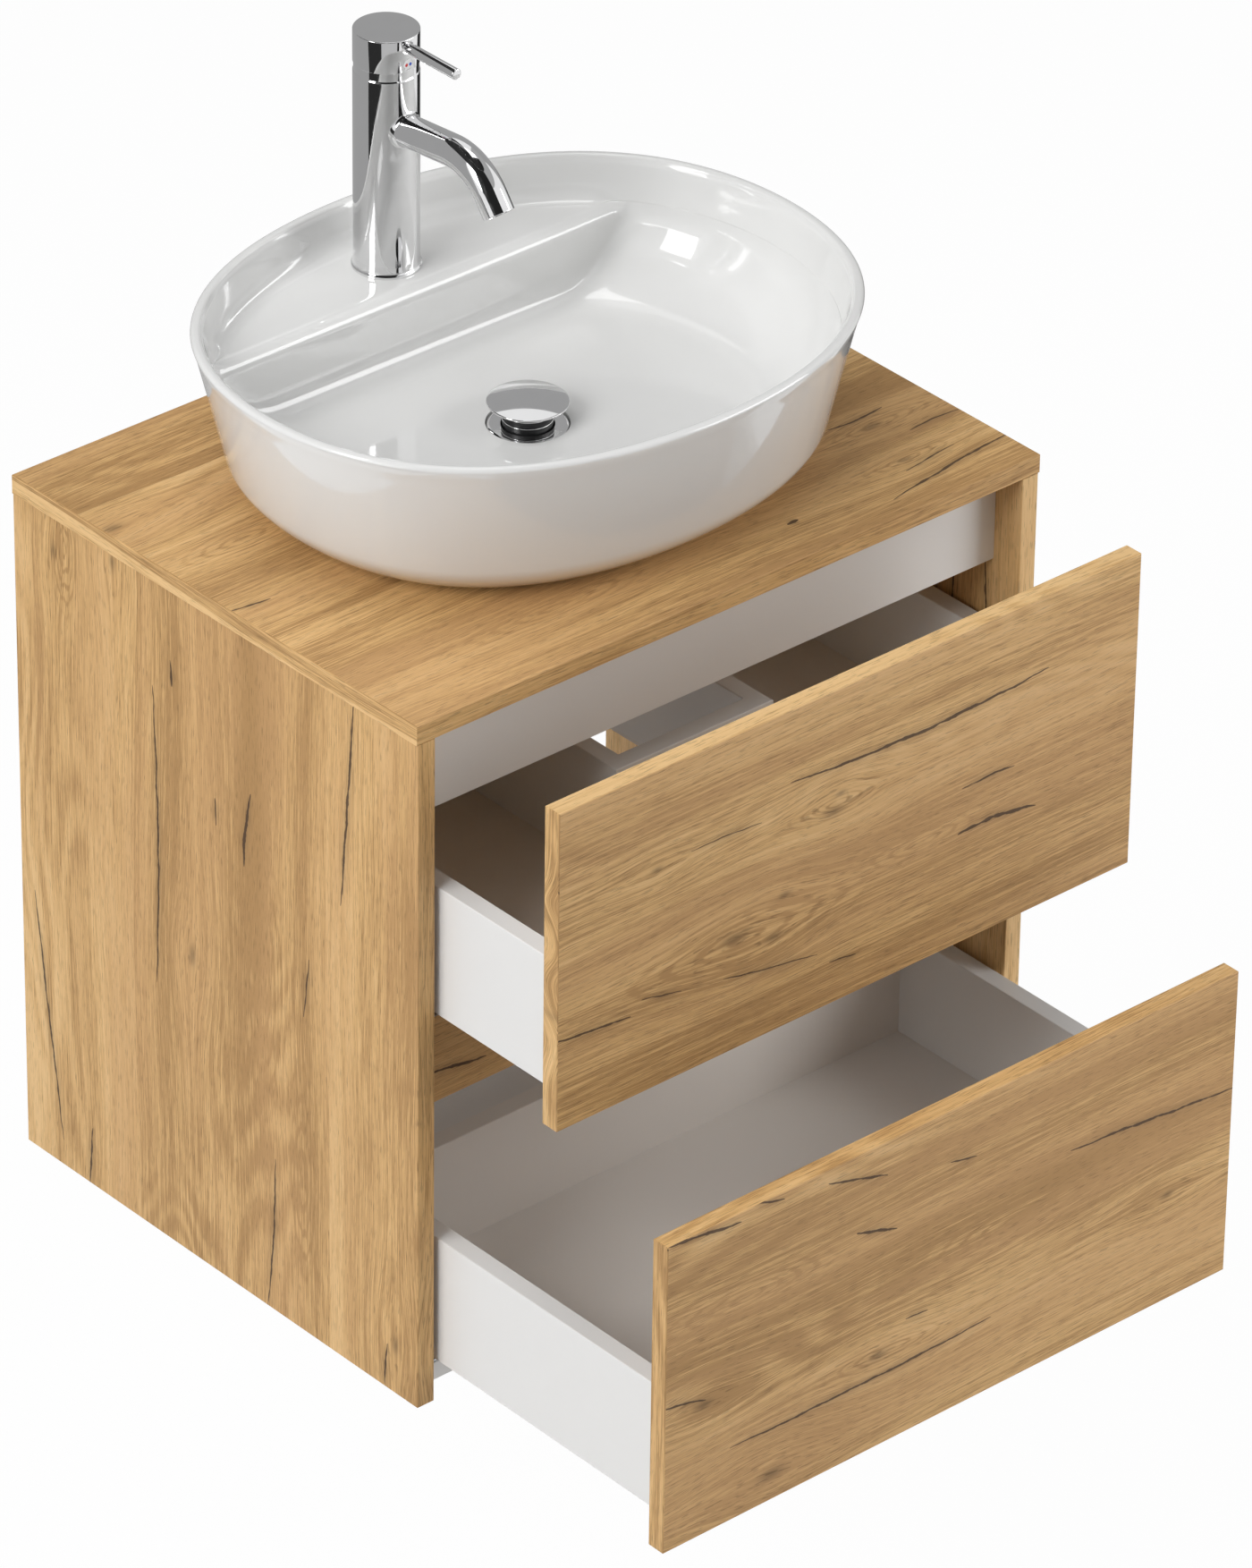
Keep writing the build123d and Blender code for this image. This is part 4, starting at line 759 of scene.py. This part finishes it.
def spout_path(sizes, start, steps=26):
    """The spout's line from a distance in front of the axis: a straight rise, an arc and a straight fall.

    Returns the points, each (forward, up), and the line's slope at each of them.
    """
    rise, fall = sizes.spout_rise, -sizes.spout_fall
    corner = np.array([sizes.spout_corner, sizes.spout_height + sizes.spout_corner * math.tan(rise)])
    bend = sizes.spout_bend
    reach = bend * math.tan((rise - fall) / 2)
    way_in, way_out = (np.array([math.cos(turn), math.sin(turn)]) for turn in (rise, fall))
    first = np.array([start, sizes.spout_height + start * math.tan(rise)])
    arc_start, end = corner - way_in * reach, corner + way_out * sizes.spout_end
    centre = arc_start + bend * np.array([math.sin(rise), -math.cos(rise)])
    turns = np.linspace(rise, fall, steps)
    arc = centre + bend * np.stack([-np.sin(turns), np.cos(turns)], axis=-1)
    lead = first + (arc_start - first) * np.linspace(0, 1, 12)[:-1, None]
    tail = arc[-1] + (end - arc[-1]) * np.linspace(0, 1, 6)[1:, None]
    slopes = np.concatenate([np.full(11, rise), turns, np.full(5, fall)])
    return np.concatenate([lead, arc, tail]), slopes


def spout_rings(sizes, columns=96):
    """Rings of the spout: a flare on the body's round side, the bent tube, and its rounded mouth.

    A ring is a circle square to the line. In the flare the radius grows in a quarter circle and each
    point is moved along the line onto a cylinder about the tap's axis that shrinks in the same quarter
    circle, so the spout leaves the body in a fillet.
    """
    turn = full_turn(columns)
    across, over = np.cos(turn), np.sin(turn)
    rise, fillet, radius = sizes.spout_rise, sizes.root_round, sizes.spout_radius
    rings = []

    def circle(width, forward, up, slope):
        lift = width * over
        forward, up = forward - lift * math.sin(slope), up + lift * math.cos(slope)
        rings.append(np.stack([width * across, forward, up], axis=-1))

    for angle in np.linspace(0, np.pi / 2, 10):
        flare = radius + fillet * (1 - math.sin(angle))
        shell = sizes.radius - 0.15 * MM + fillet * (1 - math.cos(angle))
        x, lift = flare * across, flare * over
        forward = np.sqrt(shell ** 2 - x ** 2)
        up = sizes.spout_height + forward * math.tan(rise) + lift / math.cos(rise)
        rings.append(np.stack([x, forward, up], axis=-1))
    start = sizes.radius + fillet + 2.5 * MM
    points, slopes = spout_path(sizes, start)
    for (forward, up), slope in zip(points, slopes):
        circle(radius, forward, up, slope)
    (forward, up), slope = points[-1], slopes[-1]
    tube = radius / MM
    bore = tube - 1.5
    mouth = MM * rounded([(0, tube), (0.6, tube), (0.6, bore), (-9, bore), (-9, 0)], (0.5, 0.5), 5)
    for ahead, width in mouth[1:]:
        circle(width, forward + ahead * math.cos(slope), up + ahead * math.sin(slope), slope)
    rings = np.array(rings)
    return np.stack([rings[..., 0] + PIVOT.x, PIVOT.y - rings[..., 1], DECK + rings[..., 2]], axis=-1)


def seam_ball(inner, height, gap, end=0.0):
    """Half profile of the ball round the head's turning point, from the seam up to a radius of end.

    The ball passes through the seam's inner edge, and the arc lies a gap further out.
    """
    ball = math.hypot(inner, height)
    lean = np.linspace(math.acos(height / ball), math.asin(end / ball), 24)[1:, None]
    return np.hstack([np.sin(lean), np.cos(lean)]) * (ball + gap) + (0, PIVOT.z)


class VANITY_OT_tap_body(bpy.types.Operator):
    """The tap's fixed parts: body with its domed rim and its spout, base ring and aerator"""
    bl_idname = "vanity.tap_body"
    bl_label = "Tap body"

    def execute(self, context):
        sizes = context.scene.vanity_tap
        centre = (PIVOT.x, PIVOT.y, 0)
        radius = sizes.radius
        inner, seam = radius - sizes.collar_inset - 0.05 * MM, PIVOT.z + sizes.seam_height
        foot = DECK + 0.1 * MM
        wall = rounded([(0, foot), (radius, foot), (radius, seam - 1.05 * MM), (inner, seam)],
                       (0, 0.4 * MM), 5)
        throat, pocket = 15.5 * MM, high("tap_cartridge", X) + 0.3 * MM
        floor, ceiling = low("tap_cartridge", Z) - 0.2 * MM, high("tap_cartridge", Z) + 0.5 * MM
        hollow = [(throat, ceiling), (pocket, ceiling), (pocket, floor), (0, floor)]
        profile = np.concatenate([wall, seam_ball(inner, sizes.seam_height, 0, throat), hollow])
        body = turned("tap_body_column", profile, centre, segments=192)
        spout = ring_surface("tap_spout", spout_rings(sizes), sharp=math.radians(50))
        wide, deck = radius / MM, DECK / MM
        flare = MM * rounded([
            (wide - 0.5, deck + 9), (wide + 0.02, deck + 9), (wide + 0.2, deck + 3.4), (wide + 1.6, deck + 2),
            (wide + 1.6, deck), (wide - 0.5, deck)], (0, 3, 0.5, 0.3), 7)
        ring = turned("tap_foot_ring", flare, centre, segments=192, sharp=math.radians(60))
        points, slopes = spout_path(sizes, radius)
        outlet = tap_point(*points[-1])
        way = np.array([0.0, -math.cos(slopes[-1]), math.sin(slopes[-1])])
        bore = sizes.spout_radius / MM - 1.7
        hole = bore - 2
        sieve = MM * rounded([(0, -2.4), (hole, -2.4), (hole, -0.7), (bore, -0.7), (bore, -8), (0, -8)],
                             (0, 0.4, 0.3), 4)
        aerator = turned("tap_aerator", sieve, outlet, axis=way, segments=96)
        paint(chrome(), body, spout, ring)
        paint(screen("aerator_screen", way), aerator)
        stand_in(body, "cabinet", "chrome", "tap_dome_ring", "tap_body")
        stand_in(spout, "cabinet", "chrome", "tap_body")
        stand_in(ring, "cabinet", "chrome", "tap_base_ring")
        stand_in(aerator, "cabinet", "aerator_chrome", "aerator")
        return {"FINISHED"}


class VANITY_OT_tap_handle(bpy.types.Operator):
    """The tap's head with its recess, the lever and the indicator"""
    bl_idname = "vanity.tap_handle"
    bl_label = "Tap handle"

    def execute(self, context):
        sizes = context.scene.vanity_tap
        centre = (PIVOT.x, PIVOT.y, 0)
        radius, top = sizes.radius, high("tap_head", Z)
        inner, foot = radius - sizes.collar_inset, PIVOT.z + sizes.seam_height + 0.2 * MM
        ledge = foot + sizes.collar_height
        profile = np.concatenate([
            rounded([(0, top), (radius, top), (radius, ledge), (inner, ledge), (inner, foot),
                     (inner - 0.1 * MM, foot)], (0.6 * MM, 0.2 * MM), 6),
            seam_ball(inner - 0.1 * MM, foot - PIVOT.z, 0.1 * MM)])
        head = turned("tap_head_shell", profile, centre, segments=192)
        lever_z, disc_z = middle("tap_lever", Z), middle("tap_indicator", Z)
        front = PIVOT.y - radius

        def drill(name, wide, deep, height):
            outline = MM * np.array([(0, -3), (wide, -3), (wide, deep), (0, deep)])
            return turned(name, outline, (PIVOT.x, front, height), axis=(0, 1, 0), segments=64)

        cut(head, drill("recess_cutter", 5.3, 2.2, lever_z), drill("seat_cutter", 4.25, 1.2, disc_z))
        tip = low("tap_lever", Y)
        bare, step = 3.2 * MM, 0.4 * MM
        neck = front - bare - tip
        end = neck + 14 * MM
        stick = rounded([(0, 0), (sizes.lever_radius, 0), (sizes.lever_radius, neck),
                         (sizes.neck_radius, neck + step), (sizes.neck_radius, end), (0, end)],
                        (1.0 * MM, 0.4 * MM, 0.2 * MM), 6)
        lever = turned("tap_lever_stick", stick, (PIVOT.x, tip, lever_z), axis=(0, 1, 0), segments=96)
        disc = MM * rounded([(0, -0.25), (4.1, -0.25), (4.1, 2), (0, 2)], (0.5,), 6)
        indicator = turned("tap_dots", disc, (PIVOT.x, front, disc_z), axis=(0, 1, 0), segments=64)
        paint(chrome(), head, lever)
        paint(dotted_disc("hot_and_cold", (PIVOT.x, 0.0, disc_z)), indicator)
        stand_in(head, "tap_handle", "chrome", "tap_head")
        stand_in(lever, "tap_handle", "chrome", "tap_lever")
        stand_in(indicator, "tap_handle", "indicator", "tap_indicator")
        return {"FINISHED"}


def cut(piece, *cutters):
    """Subtracts closed cutters from a piece and removes them."""
    bpy.context.view_layer.objects.active = piece
    for cutter in cutters:
        tool = piece.modifiers.new("cut", "BOOLEAN")
        tool.object, tool.operation, tool.solver = cutter, "DIFFERENCE", "EXACT"
        bpy.ops.object.modifier_apply(modifier=tool.name)
        bpy.data.objects.remove(cutter)
    piece.data.set_sharp_from_angle(angle=math.radians(35))


# ---------------------------------------------------------------- waste
class VANITY_OT_waste(bpy.types.Operator):
    """The waste: domed cap, black stem with two rings, flange, tail, seals and backnut"""
    bl_idname = "vanity.waste"
    bl_label = "Waste"

    def execute(self, context):
        centre = (middle("plug_cap", X), middle("plug_cap", Y), 0)
        foot, top, radius = outline_box("plug_cap")
        dome = 3.2  # how far the cap's middle stands above its edge
        ball = (radius ** 2 + dome ** 2) / (2 * dome)
        lean = np.linspace(0, math.asin(radius / ball), 24)
        crown = np.stack([ball * np.sin(lean), top - ball * (1 - np.cos(lean))], axis=-1)
        edge = rounded([*crown[-2:], (radius, foot + 1.2), (radius - 3, foot), (0, foot)], (0.5, 0.6), 6)
        cap = turned("waste_cap", MM * np.concatenate([crown[:-2], edge]), centre, segments=160)

        tail, flange, lip = outline_box("waste_flange")
        ring_foot, ring_top, ring_radius = outline_box("plug_rings")
        half_ring = 0.45
        places = (ring_foot + half_ring, ring_top - half_ring)
        wall, groove, guide = ring_radius - 0.3, ring_radius - 1.2, 17.9
        outline = [(0, foot), (ring_radius - 2, foot), (ring_radius - 2, foot - 0.8), (wall, foot - 1.4)]
        for place in reversed(places):
            outline += [(wall, place + 2 * half_ring), (groove, place + half_ring),
                        (groove, place - half_ring), (wall, place - 2 * half_ring)]
        end = low("plug_stem", Z) / MM
        outline += [(wall, flange - 2), (guide, flange - 2), (guide, end), (0, end)]
        stem = turned("waste_stem", MM * np.array(outline), centre, segments=128)
        rings = []
        for number, place in enumerate(places):
            inner, below, above = ring_radius - 1.4, place - half_ring, place + half_ring
            outline = rounded([(inner, place), (inner, below), (ring_radius, below), (ring_radius, above),
                               (inner, above)], (0, 0.4, 0.4), 5)
            rings.append(turned(f"waste_ring_{number + 1}", MM * outline, centre, segments=128))

        outline = rounded([
            (19.8, flange - 12), (19.8, flange - 0.2), (lip - 2, flange), (lip, flange - 0.8),
            (lip - 0.3, flange - 1.8), (22.4, flange - 2.2), (22.4, flange - 24), (21.7, flange - 24),
            (21.7, tail + 32), (20.95, tail + 32), (20.95, tail + 1), (19.95, tail), (18.3, tail),
            (18.3, flange - 20), (19.8, flange - 20), (19.8, flange - 12)], (0.8, 1, 0.4), 6)
        body = turned("waste_body", MM * outline[:-1], centre, segments=128)
        thread = thread_surface(centre, 20.95 * MM, (tail + 1.5) * MM, (tail + 31) * MM)
        paint(chrome(), cap, body, *rings)
        paint(metal("tail_chrome", tint("chrome", 0.9), (0.1, 0.16)), thread)
        paint(moulded("stem_black", tint("black_plastic"), 0.3), stem)
        paint(moulded("seal_black", tint("rubber"), 0.6, 400.0), "waste_top_seal", "waste_bottom_seal")
        paint(metal("machined_brass", tint("brass"), (0.22, 0.34), 40.0, (1, 1, 8)),
              "waste_backnut", "tap_fixing_stud", "cartridge_spindle")
        stand_in(cap, "waste_plug", "chrome", "plug_cap")
        stand_in(stem, "waste_plug", "black_plastic", "plug_stem")
        for ring in rings:
            stand_in(ring, "waste_plug", "chrome", "plug_rings")
        for piece in (body, thread):
            stand_in(piece, "cabinet", "chrome", "waste_flange")
        return {"FINISHED"}


def outline_box(node):
    """A CAD node's foot, top and half width, in millimetres."""
    return low(node, Z) / MM, high(node, Z) / MM, span(node, X) / 2 / MM


def thread_surface(centre, radius, foot, top, pitch=2.3 * MM, columns=72):
    """A pipe thread: a sleeve whose radius follows a rounded V wave that climbs one pitch a turn."""
    turn = full_turn(columns)
    rows = int((top - foot) / pitch * 8)
    height = np.linspace(foot, top, rows)[:, None]
    phase = (height - foot) / pitch - turn / (2 * np.pi)
    wave = np.abs((phase % 1.0) * 2 - 1)
    ends = np.clip(np.minimum(height - foot, top - height) / pitch, 0, 1)
    proud, depth = 0.02 * MM, 0.9 * MM
    crest = radius + proud - depth * ends * (wave * wave * (3 - 2 * wave))
    inside = upright_rings(radius - 1.6 * MM, np.array([[top], [foot]]), turn)
    rings = np.concatenate([upright_rings(crest, height, turn), inside]) + np.array(centre, float)
    return ring_surface("waste_thread", rings, sharp=math.radians(60), round_rows=True)


# ---------------------------------------------------------------- cabinet
# Each oak: the axis that its face looks along, a seed, its cracks, knots and figures, and its boards.
# Cracks are (start, level, end, end level, bow, width), knots (along, level, size) and figures (along,
# level, half length, half width), in millimetres along and across the grain.
OAK_BOARDS = {
    "oak_countertop": ("Z", 1.3, [
        (-300, -255, -267, -259, 0, 1.4), (202, -335, 257, -336, -2, 1.6), (172, -442, 302, -425, 2, 2.0),
        (250, -375, 299, -375, 2, 1.1), (88, -419, 99, -419, 0, 2.6), (207, -417, 261, -411, 1, 0.9),
    ], [(-292, -108, 7), (231, -352, 7), (217, -404, 5)],
        [(240, -352, 75, 17), (222, -404, 60, 12), (-120, -400, 110, 20), (-230, -180, 80, 22)],
        "countertop"),
    "oak_side_left": ("X", 2.1, [
        (-40, -161, -298, -161, -4, 1.7), (52, -391, -126, -376, 0, 2.0), (-103, -232, -126, -234, 0, 1.1),
        (-80, -274, -146, -265, 2, 2.8), (-288, -15, -499, -44, 0, 1.6), (-470, -80, -524, -76, 0, 1.8),
        (-190, -339, -243, -333, 0, 1.0), (-385, -299, -523, -289, -2, 1.6), (-482, -428, -520, -425, 1, 1.6),
        (-9, -182, -31, -184, 0, 1.8),
    ], [(22, -46, 5), (44, -116, 6), (-253, -204, 7), (-479, -437, 6)],
        [(-230, -285, 150, 30), (30, -60, 60, 18), (-110, -272, 60, 12), (-390, -330, 110, 22)],
        "side_panel_left"),
    "oak_side_right": ("X", 4.6, [
        (30, -300, -60, -310, 2, 1.6), (-20, -395, -110, -390, 1, 1.4), (-210, -150, -390, -140, -4, 1.8),
        (-330, -260, -430, -268, 2, 1.4), (-60, -90, -170, -96, 1, 1.6), (-420, -60, -521, -70, 0, 1.5),
        (-26, -424, -92, -429, 0, 1.8),
    ], [(-150, -330, 7), (-300, -200, 6), (-450, -390, 6)],
        [(-140, -325, 120, 26), (-330, -120, 140, 30)], "side_panel_right"),
    "oak_upper_front": ("Y", 3.4, [
        (-62, -13, 190, -14, -6, 2.0), (107, -86, 159, -85, 1, 1.3), (104, -124, 182, -129, 4, 3.0),
        (-281, -142, -211, -149, 0, 1.8), (-123, -155, -32, -171, 0, 0.8), (-156, -32, -89, -35, 0, 0.5),
        (-201, -139, -163, -147, 0, 0.6), (-20, -182, 6, -186, 0, 0.7),
    ], [(-19, -54, 7), (-13, -41, 4), (-188, -35, 4), (-65, -106, 5), (-114, -124, 8), (-75, -138, 6)],
        [(-100, -128, 150, 32), (-15, -48, 60, 14), (70, -115, 80, 18)], "upper_drawer_front"),
    "oak_lower_front": ("Y", 5.2, [
        (114, -343, 282, -359, 1, 1.9), (-217, -457, 39, -457, -2, 1.7), (-281, -254, -210, -263, 0, 2.0),
        (-281, -394, -241, -404, 1, 1.5), (-127, -267, -69, -284, 0, 1.8), (-98, -323, -58, -335, 0, 2.4),
        (-199, -253, -169, -261, 0, 1.3), (-7, -300, 19, -306, 0, 1.1), (-47, -420, -25, -422, 0, 1.1),
    ], [(-73, -441, 7), (-243, -407, 6), (-176, -499, 9), (216, -426, 5)],
        [(-60, -440, 80, 16), (60, -380, 110, 24), (-200, -330, 90, 20)],
        "lower_drawer_front", "middle_rail"),
}


class VANITY_OT_oak_boards(bpy.types.Operator):
    """Oak finish of the countertop, the side panels, the middle rail and the drawer fronts"""
    bl_idname = "vanity.oak_boards"
    bl_label = "Oak boards"

    def execute(self, context):
        for name, (face, seed, cracks, knots, figures, *boards) in OAK_BOARDS.items():
            paint(oak(name, face, seed, cracks, knots, figures), *boards)
        return {"FINISHED"}


class VANITY_OT_melamine_boards(bpy.types.Operator):
    """White melamine finish of the drawer boxes, the rails and the bottom panel; the drawers' floors and
    backs take a warmer copy of it as painted bounce light
    """
    bl_idname = "vanity.melamine_boards"
    bl_label = "Melamine boards"

    def execute(self, context):
        white = melamine("white_melamine", tint("melamine"))
        # A warmer copy of the white melamine, painted warm bounce light for the drawers' floors and backs
        warm = melamine("warm_melamine", tint("warm_melamine"))
        paint(white, "top_front_rail", "rear_rail", "bottom_panel", "upper_drawer_well_walls")
        for drawer in ("upper_drawer", "lower_drawer"):
            paint(white, f"{drawer}_side_left", f"{drawer}_side_right")
            paint(warm, f"{drawer}_back", f"{drawer}_floor")
        return {"FINISHED"}


class VANITY_OT_fittings(bpy.types.Operator):
    """Finish of the runners, clips, hangers, wall plates, cams, dowels, screws and the tap's fixings"""
    bl_idname = "vanity.fittings"
    bl_label = "Fittings"

    def execute(self, context):
        runners = [f"{name}_{part}" for name in ("upper", "lower")
                   for part in ("runner_fixed", "runner_middle", "drawer_carriers")]
        paint(galvanised("galvanised_steel"), *runners)
        paint(metal("zinc_plate", tint("zinc"), (0.25, 0.4), 120.0),
              "cam_locks", "cam_bolts", "hanger_screws", "wall_plates", "runner_screws", "tap_fixing_nut",
              "tap_fixing_washer", "head_grub_screw")
        paint(moulded("white_nylon", tint("nylon"), 0.45), "wall_hangers", "upper_runner_glides",
              "lower_runner_glides", "tap_cartridge", "cartridge_turret")
        paint(moulded("grey_clips", tint("grey_plastic"), 0.4), "upper_drawer_clips", "lower_drawer_clips")
        paint(plain_wood("beech_dowels"), "panel_dowels")
        return {"FINISHED"}


# ---------------------------------------------------------------- stage
def area_light(name, place, target, size, power):
    """A soft square light that faces a target point."""
    light = bpy.data.lights.new(name, "AREA")
    light.size, light.energy = size, power
    lamp = bpy.data.objects.new(name, light)
    lamp.location = place
    lamp.rotation_euler = (Vector(target) - Vector(place)).to_track_quat("-Z", "Y").to_euler()
    bpy.context.collection.objects.link(lamp)


def seen_or_mirrored(shader):
    """1 for rays from the camera and for those seen in metal or glass, 0 for light on the object."""
    camera, glossy, through = (shader.node("ShaderNodeLightPath", output=f"Is {ray} Ray")
                               for ray in ("Camera", "Glossy", "Transmission"))
    return (camera + glossy + through).math("MINIMUM", 1.0)


# Cards round the tap: name, azimuths from the camera to the left, heights in degrees, and tone.
CARD_DISTANCE, CARD_ROWS, CARD_COLUMNS = 1.7, 13, 25
CARDS = (
    ("left_grey", 62, 205, -50, 40.5, 0.4), ("left_black", 16, 62, -50, -8, 0.03),
    ("front_grey", -36, 16, -50, 11, 0.58), ("right_strip", -43, -36, -50, 11, 0.02),
    ("behind_grey", 205, 234, -8, 42, 0.4), ("behind_black", 205, 234, -50, -8, 0.03),
    ("camera_black", -38, 40, 11, 66, 0.02), ("ceiling_black", 40, 165, 40.8, 66, 0.03),
    ("overhead_black", -120, 165, 66, 89, 0.02), ("right_grey", -155, -38, 42, 66, 0.45),
)


class VANITY_OT_stage(bpy.types.Operator):
    """Camera, soft lights, pale floor and white background"""
    bl_idname = "vanity.stage"
    bl_label = "Stage"

    def execute(self, context):
        settings = context.scene.vanity_stage
        self.camera(context, settings)
        middle_point = (0.0, -0.3, -0.1)
        area_light("key_light", (-3.3, -0.6, 2.1), middle_point, 2.2, settings.key)
        area_light("fill_light", (2.2, -2.5, 0.9), middle_point, 1.8, settings.fill)
        area_light("top_light", (-0.5, 0.3, 3.1), middle_point, 2.4, settings.top)
        self.cards(context)
        self.floor(settings)
        self.world(context, settings)
        context.scene.view_settings.view_transform = "Standard"
        return {"FINISHED"}

    def camera(self, context, settings):
        """Points the camera by its azimuth, elevation and roll."""
        turn, down, roll = settings.azimuth, settings.elevation, settings.roll
        ahead = Vector((-math.sin(turn) * math.cos(down), math.cos(turn) * math.cos(down), -math.sin(down)))
        right = ahead.cross(Vector((0, 0, 1))).normalized()
        up = right.cross(ahead)
        right, up = right * math.cos(roll) + up * math.sin(roll), up * math.cos(roll) - right * math.sin(roll)
        lens = bpy.data.cameras.new("camera")
        lens.lens, lens.sensor_width, lens.sensor_fit = settings.lens, 36.0, "AUTO"
        lens.clip_end = 100.0
        camera = bpy.data.objects.new("camera", lens)
        camera.matrix_world = Matrix.Translation(Vector(settings.camera_place)) @ Matrix(
            (right, up, -ahead)).transposed().to_4x4()
        context.collection.objects.link(camera)
        context.scene.camera = camera

    def cards(self, context):
        """Grey and black cards that only polished metal sees, so that it shows its form.

        Each is a patch of a ball round the tap, between two azimuths, counted from the camera to the
        left, and two heights above the horizon.
        """
        towards = Vector(context.scene.vanity_stage.camera_place) - PIVOT
        camera_turn = math.atan2(towards.y, towards.x)
        for name, first_turn, last_turn, foot, head, tone in CARDS:
            turn, rise = np.meshgrid(np.radians(np.linspace(first_turn, last_turn, CARD_COLUMNS)),
                                     np.radians(np.linspace(foot, head, CARD_ROWS)))
            ball = upright_rings(np.cos(rise), np.sin(rise), camera_turn - turn)
            points = ball * CARD_DISTANCE + np.array(PIVOT)
            faces = grid_faces(CARD_ROWS, CARD_COLUMNS).reshape(-1, CARD_COLUMNS, 4)[:, :-1].reshape(-1, 4)
            card = add_mesh(f"card_{name}", points.reshape(-1, 3), faces)
            for ray in ("camera", "diffuse", "shadow", "transmission"):
                setattr(card, f"visible_{ray}", False)
            shader = Shader(f"card_{name}")
            shader.node("ShaderNodeOutputMaterial", None, {"Surface": shader.glow(tone)})
            paint(shader.owner, card)

    def floor(self, settings):
        """A large disc below the cabinet that shows nearly white and keeps a soft shadow."""
        level = float(cad_box[0][Z]) - settings.floor_drop
        turn = full_turn(96)
        reaches = np.array([[0.0], [4.0], [14.0]])
        rings = upright_rings(reaches, level, turn)
        floor = add_mesh("studio_floor", rings.reshape(-1, 3), grid_faces(len(reaches), len(turn)))
        shader = Shader("floor_white")
        matt = shader.node("ShaderNodeBsdfDiffuse", None, {"Color": (0.9, 0.9, 0.9, 1)})
        bright = seen_or_mirrored(shader) * 0.97
        mix = shader.node("ShaderNodeMixShader", None, {0: bright, 1: matt, 2: shader.glow(1)})
        shader.node("ShaderNodeOutputMaterial", None, {"Surface": mix})
        paint(shader.owner, floor)

    def world(self, context, settings):
        """Even light from all round, seen as white by the camera and in metal."""
        shader = Shader("studio", "worlds")
        context.scene.world = shader.owner
        seen = seen_or_mirrored(shader)
        strength = seen * (1.0 - settings.ambient) + settings.ambient
        sky = shader.node("ShaderNodeBackground", None, {"Color": (1, 1, 1, 1), "Strength": strength})
        shader.node("ShaderNodeOutputWorld", None, {"Surface": sky})


PIECES = (VANITY_OT_basin, VANITY_OT_tap_body, VANITY_OT_tap_handle, VANITY_OT_waste, VANITY_OT_oak_boards,
          VANITY_OT_melamine_boards, VANITY_OT_fittings, VANITY_OT_stage)


class VANITY_PT_panel(bpy.types.Panel):
    """Lists the pieces and the sizes and colours that they take"""
    bl_idname = "VANITY_PT_panel"
    bl_label = "Vanity"
    bl_space_type = "VIEW_3D"
    bl_region_type = "UI"
    bl_category = "Vanity"

    def draw(self, context):
        for piece in PIECES:
            self.layout.operator(piece.bl_idname)
        for name in GROUPS:
            group = getattr(context.scene, name)
            box = self.layout.box()
            for field in group.bl_rna.properties:
                if not field.is_readonly and field.identifier != "name":
                    box.prop(group, field.identifier)


GROUPS = {"vanity_basin": VanityBasin, "vanity_tap": VanityTap, "vanity_finishes": VanityFinishes,
          "vanity_stage": VanityStage}


def register():
    for name, group in GROUPS.items():
        bpy.utils.register_class(group)
        setattr(bpy.types.Scene, name, PointerProperty(type=group))
    for part in (*PIECES, VANITY_PT_panel):
        bpy.utils.register_class(part)


def unregister():
    for part in (VANITY_PT_panel, *reversed(PIECES)):
        bpy.utils.unregister_class(part)
    for name, group in GROUPS.items():
        delattr(bpy.types.Scene, name)
        bpy.utils.unregister_class(group)


def main():
    register()
    for piece in PIECES:
        group, name = piece.bl_idname.split(".")
        getattr(getattr(bpy.ops, group), name)()


if __name__ == "__main__":
    main()
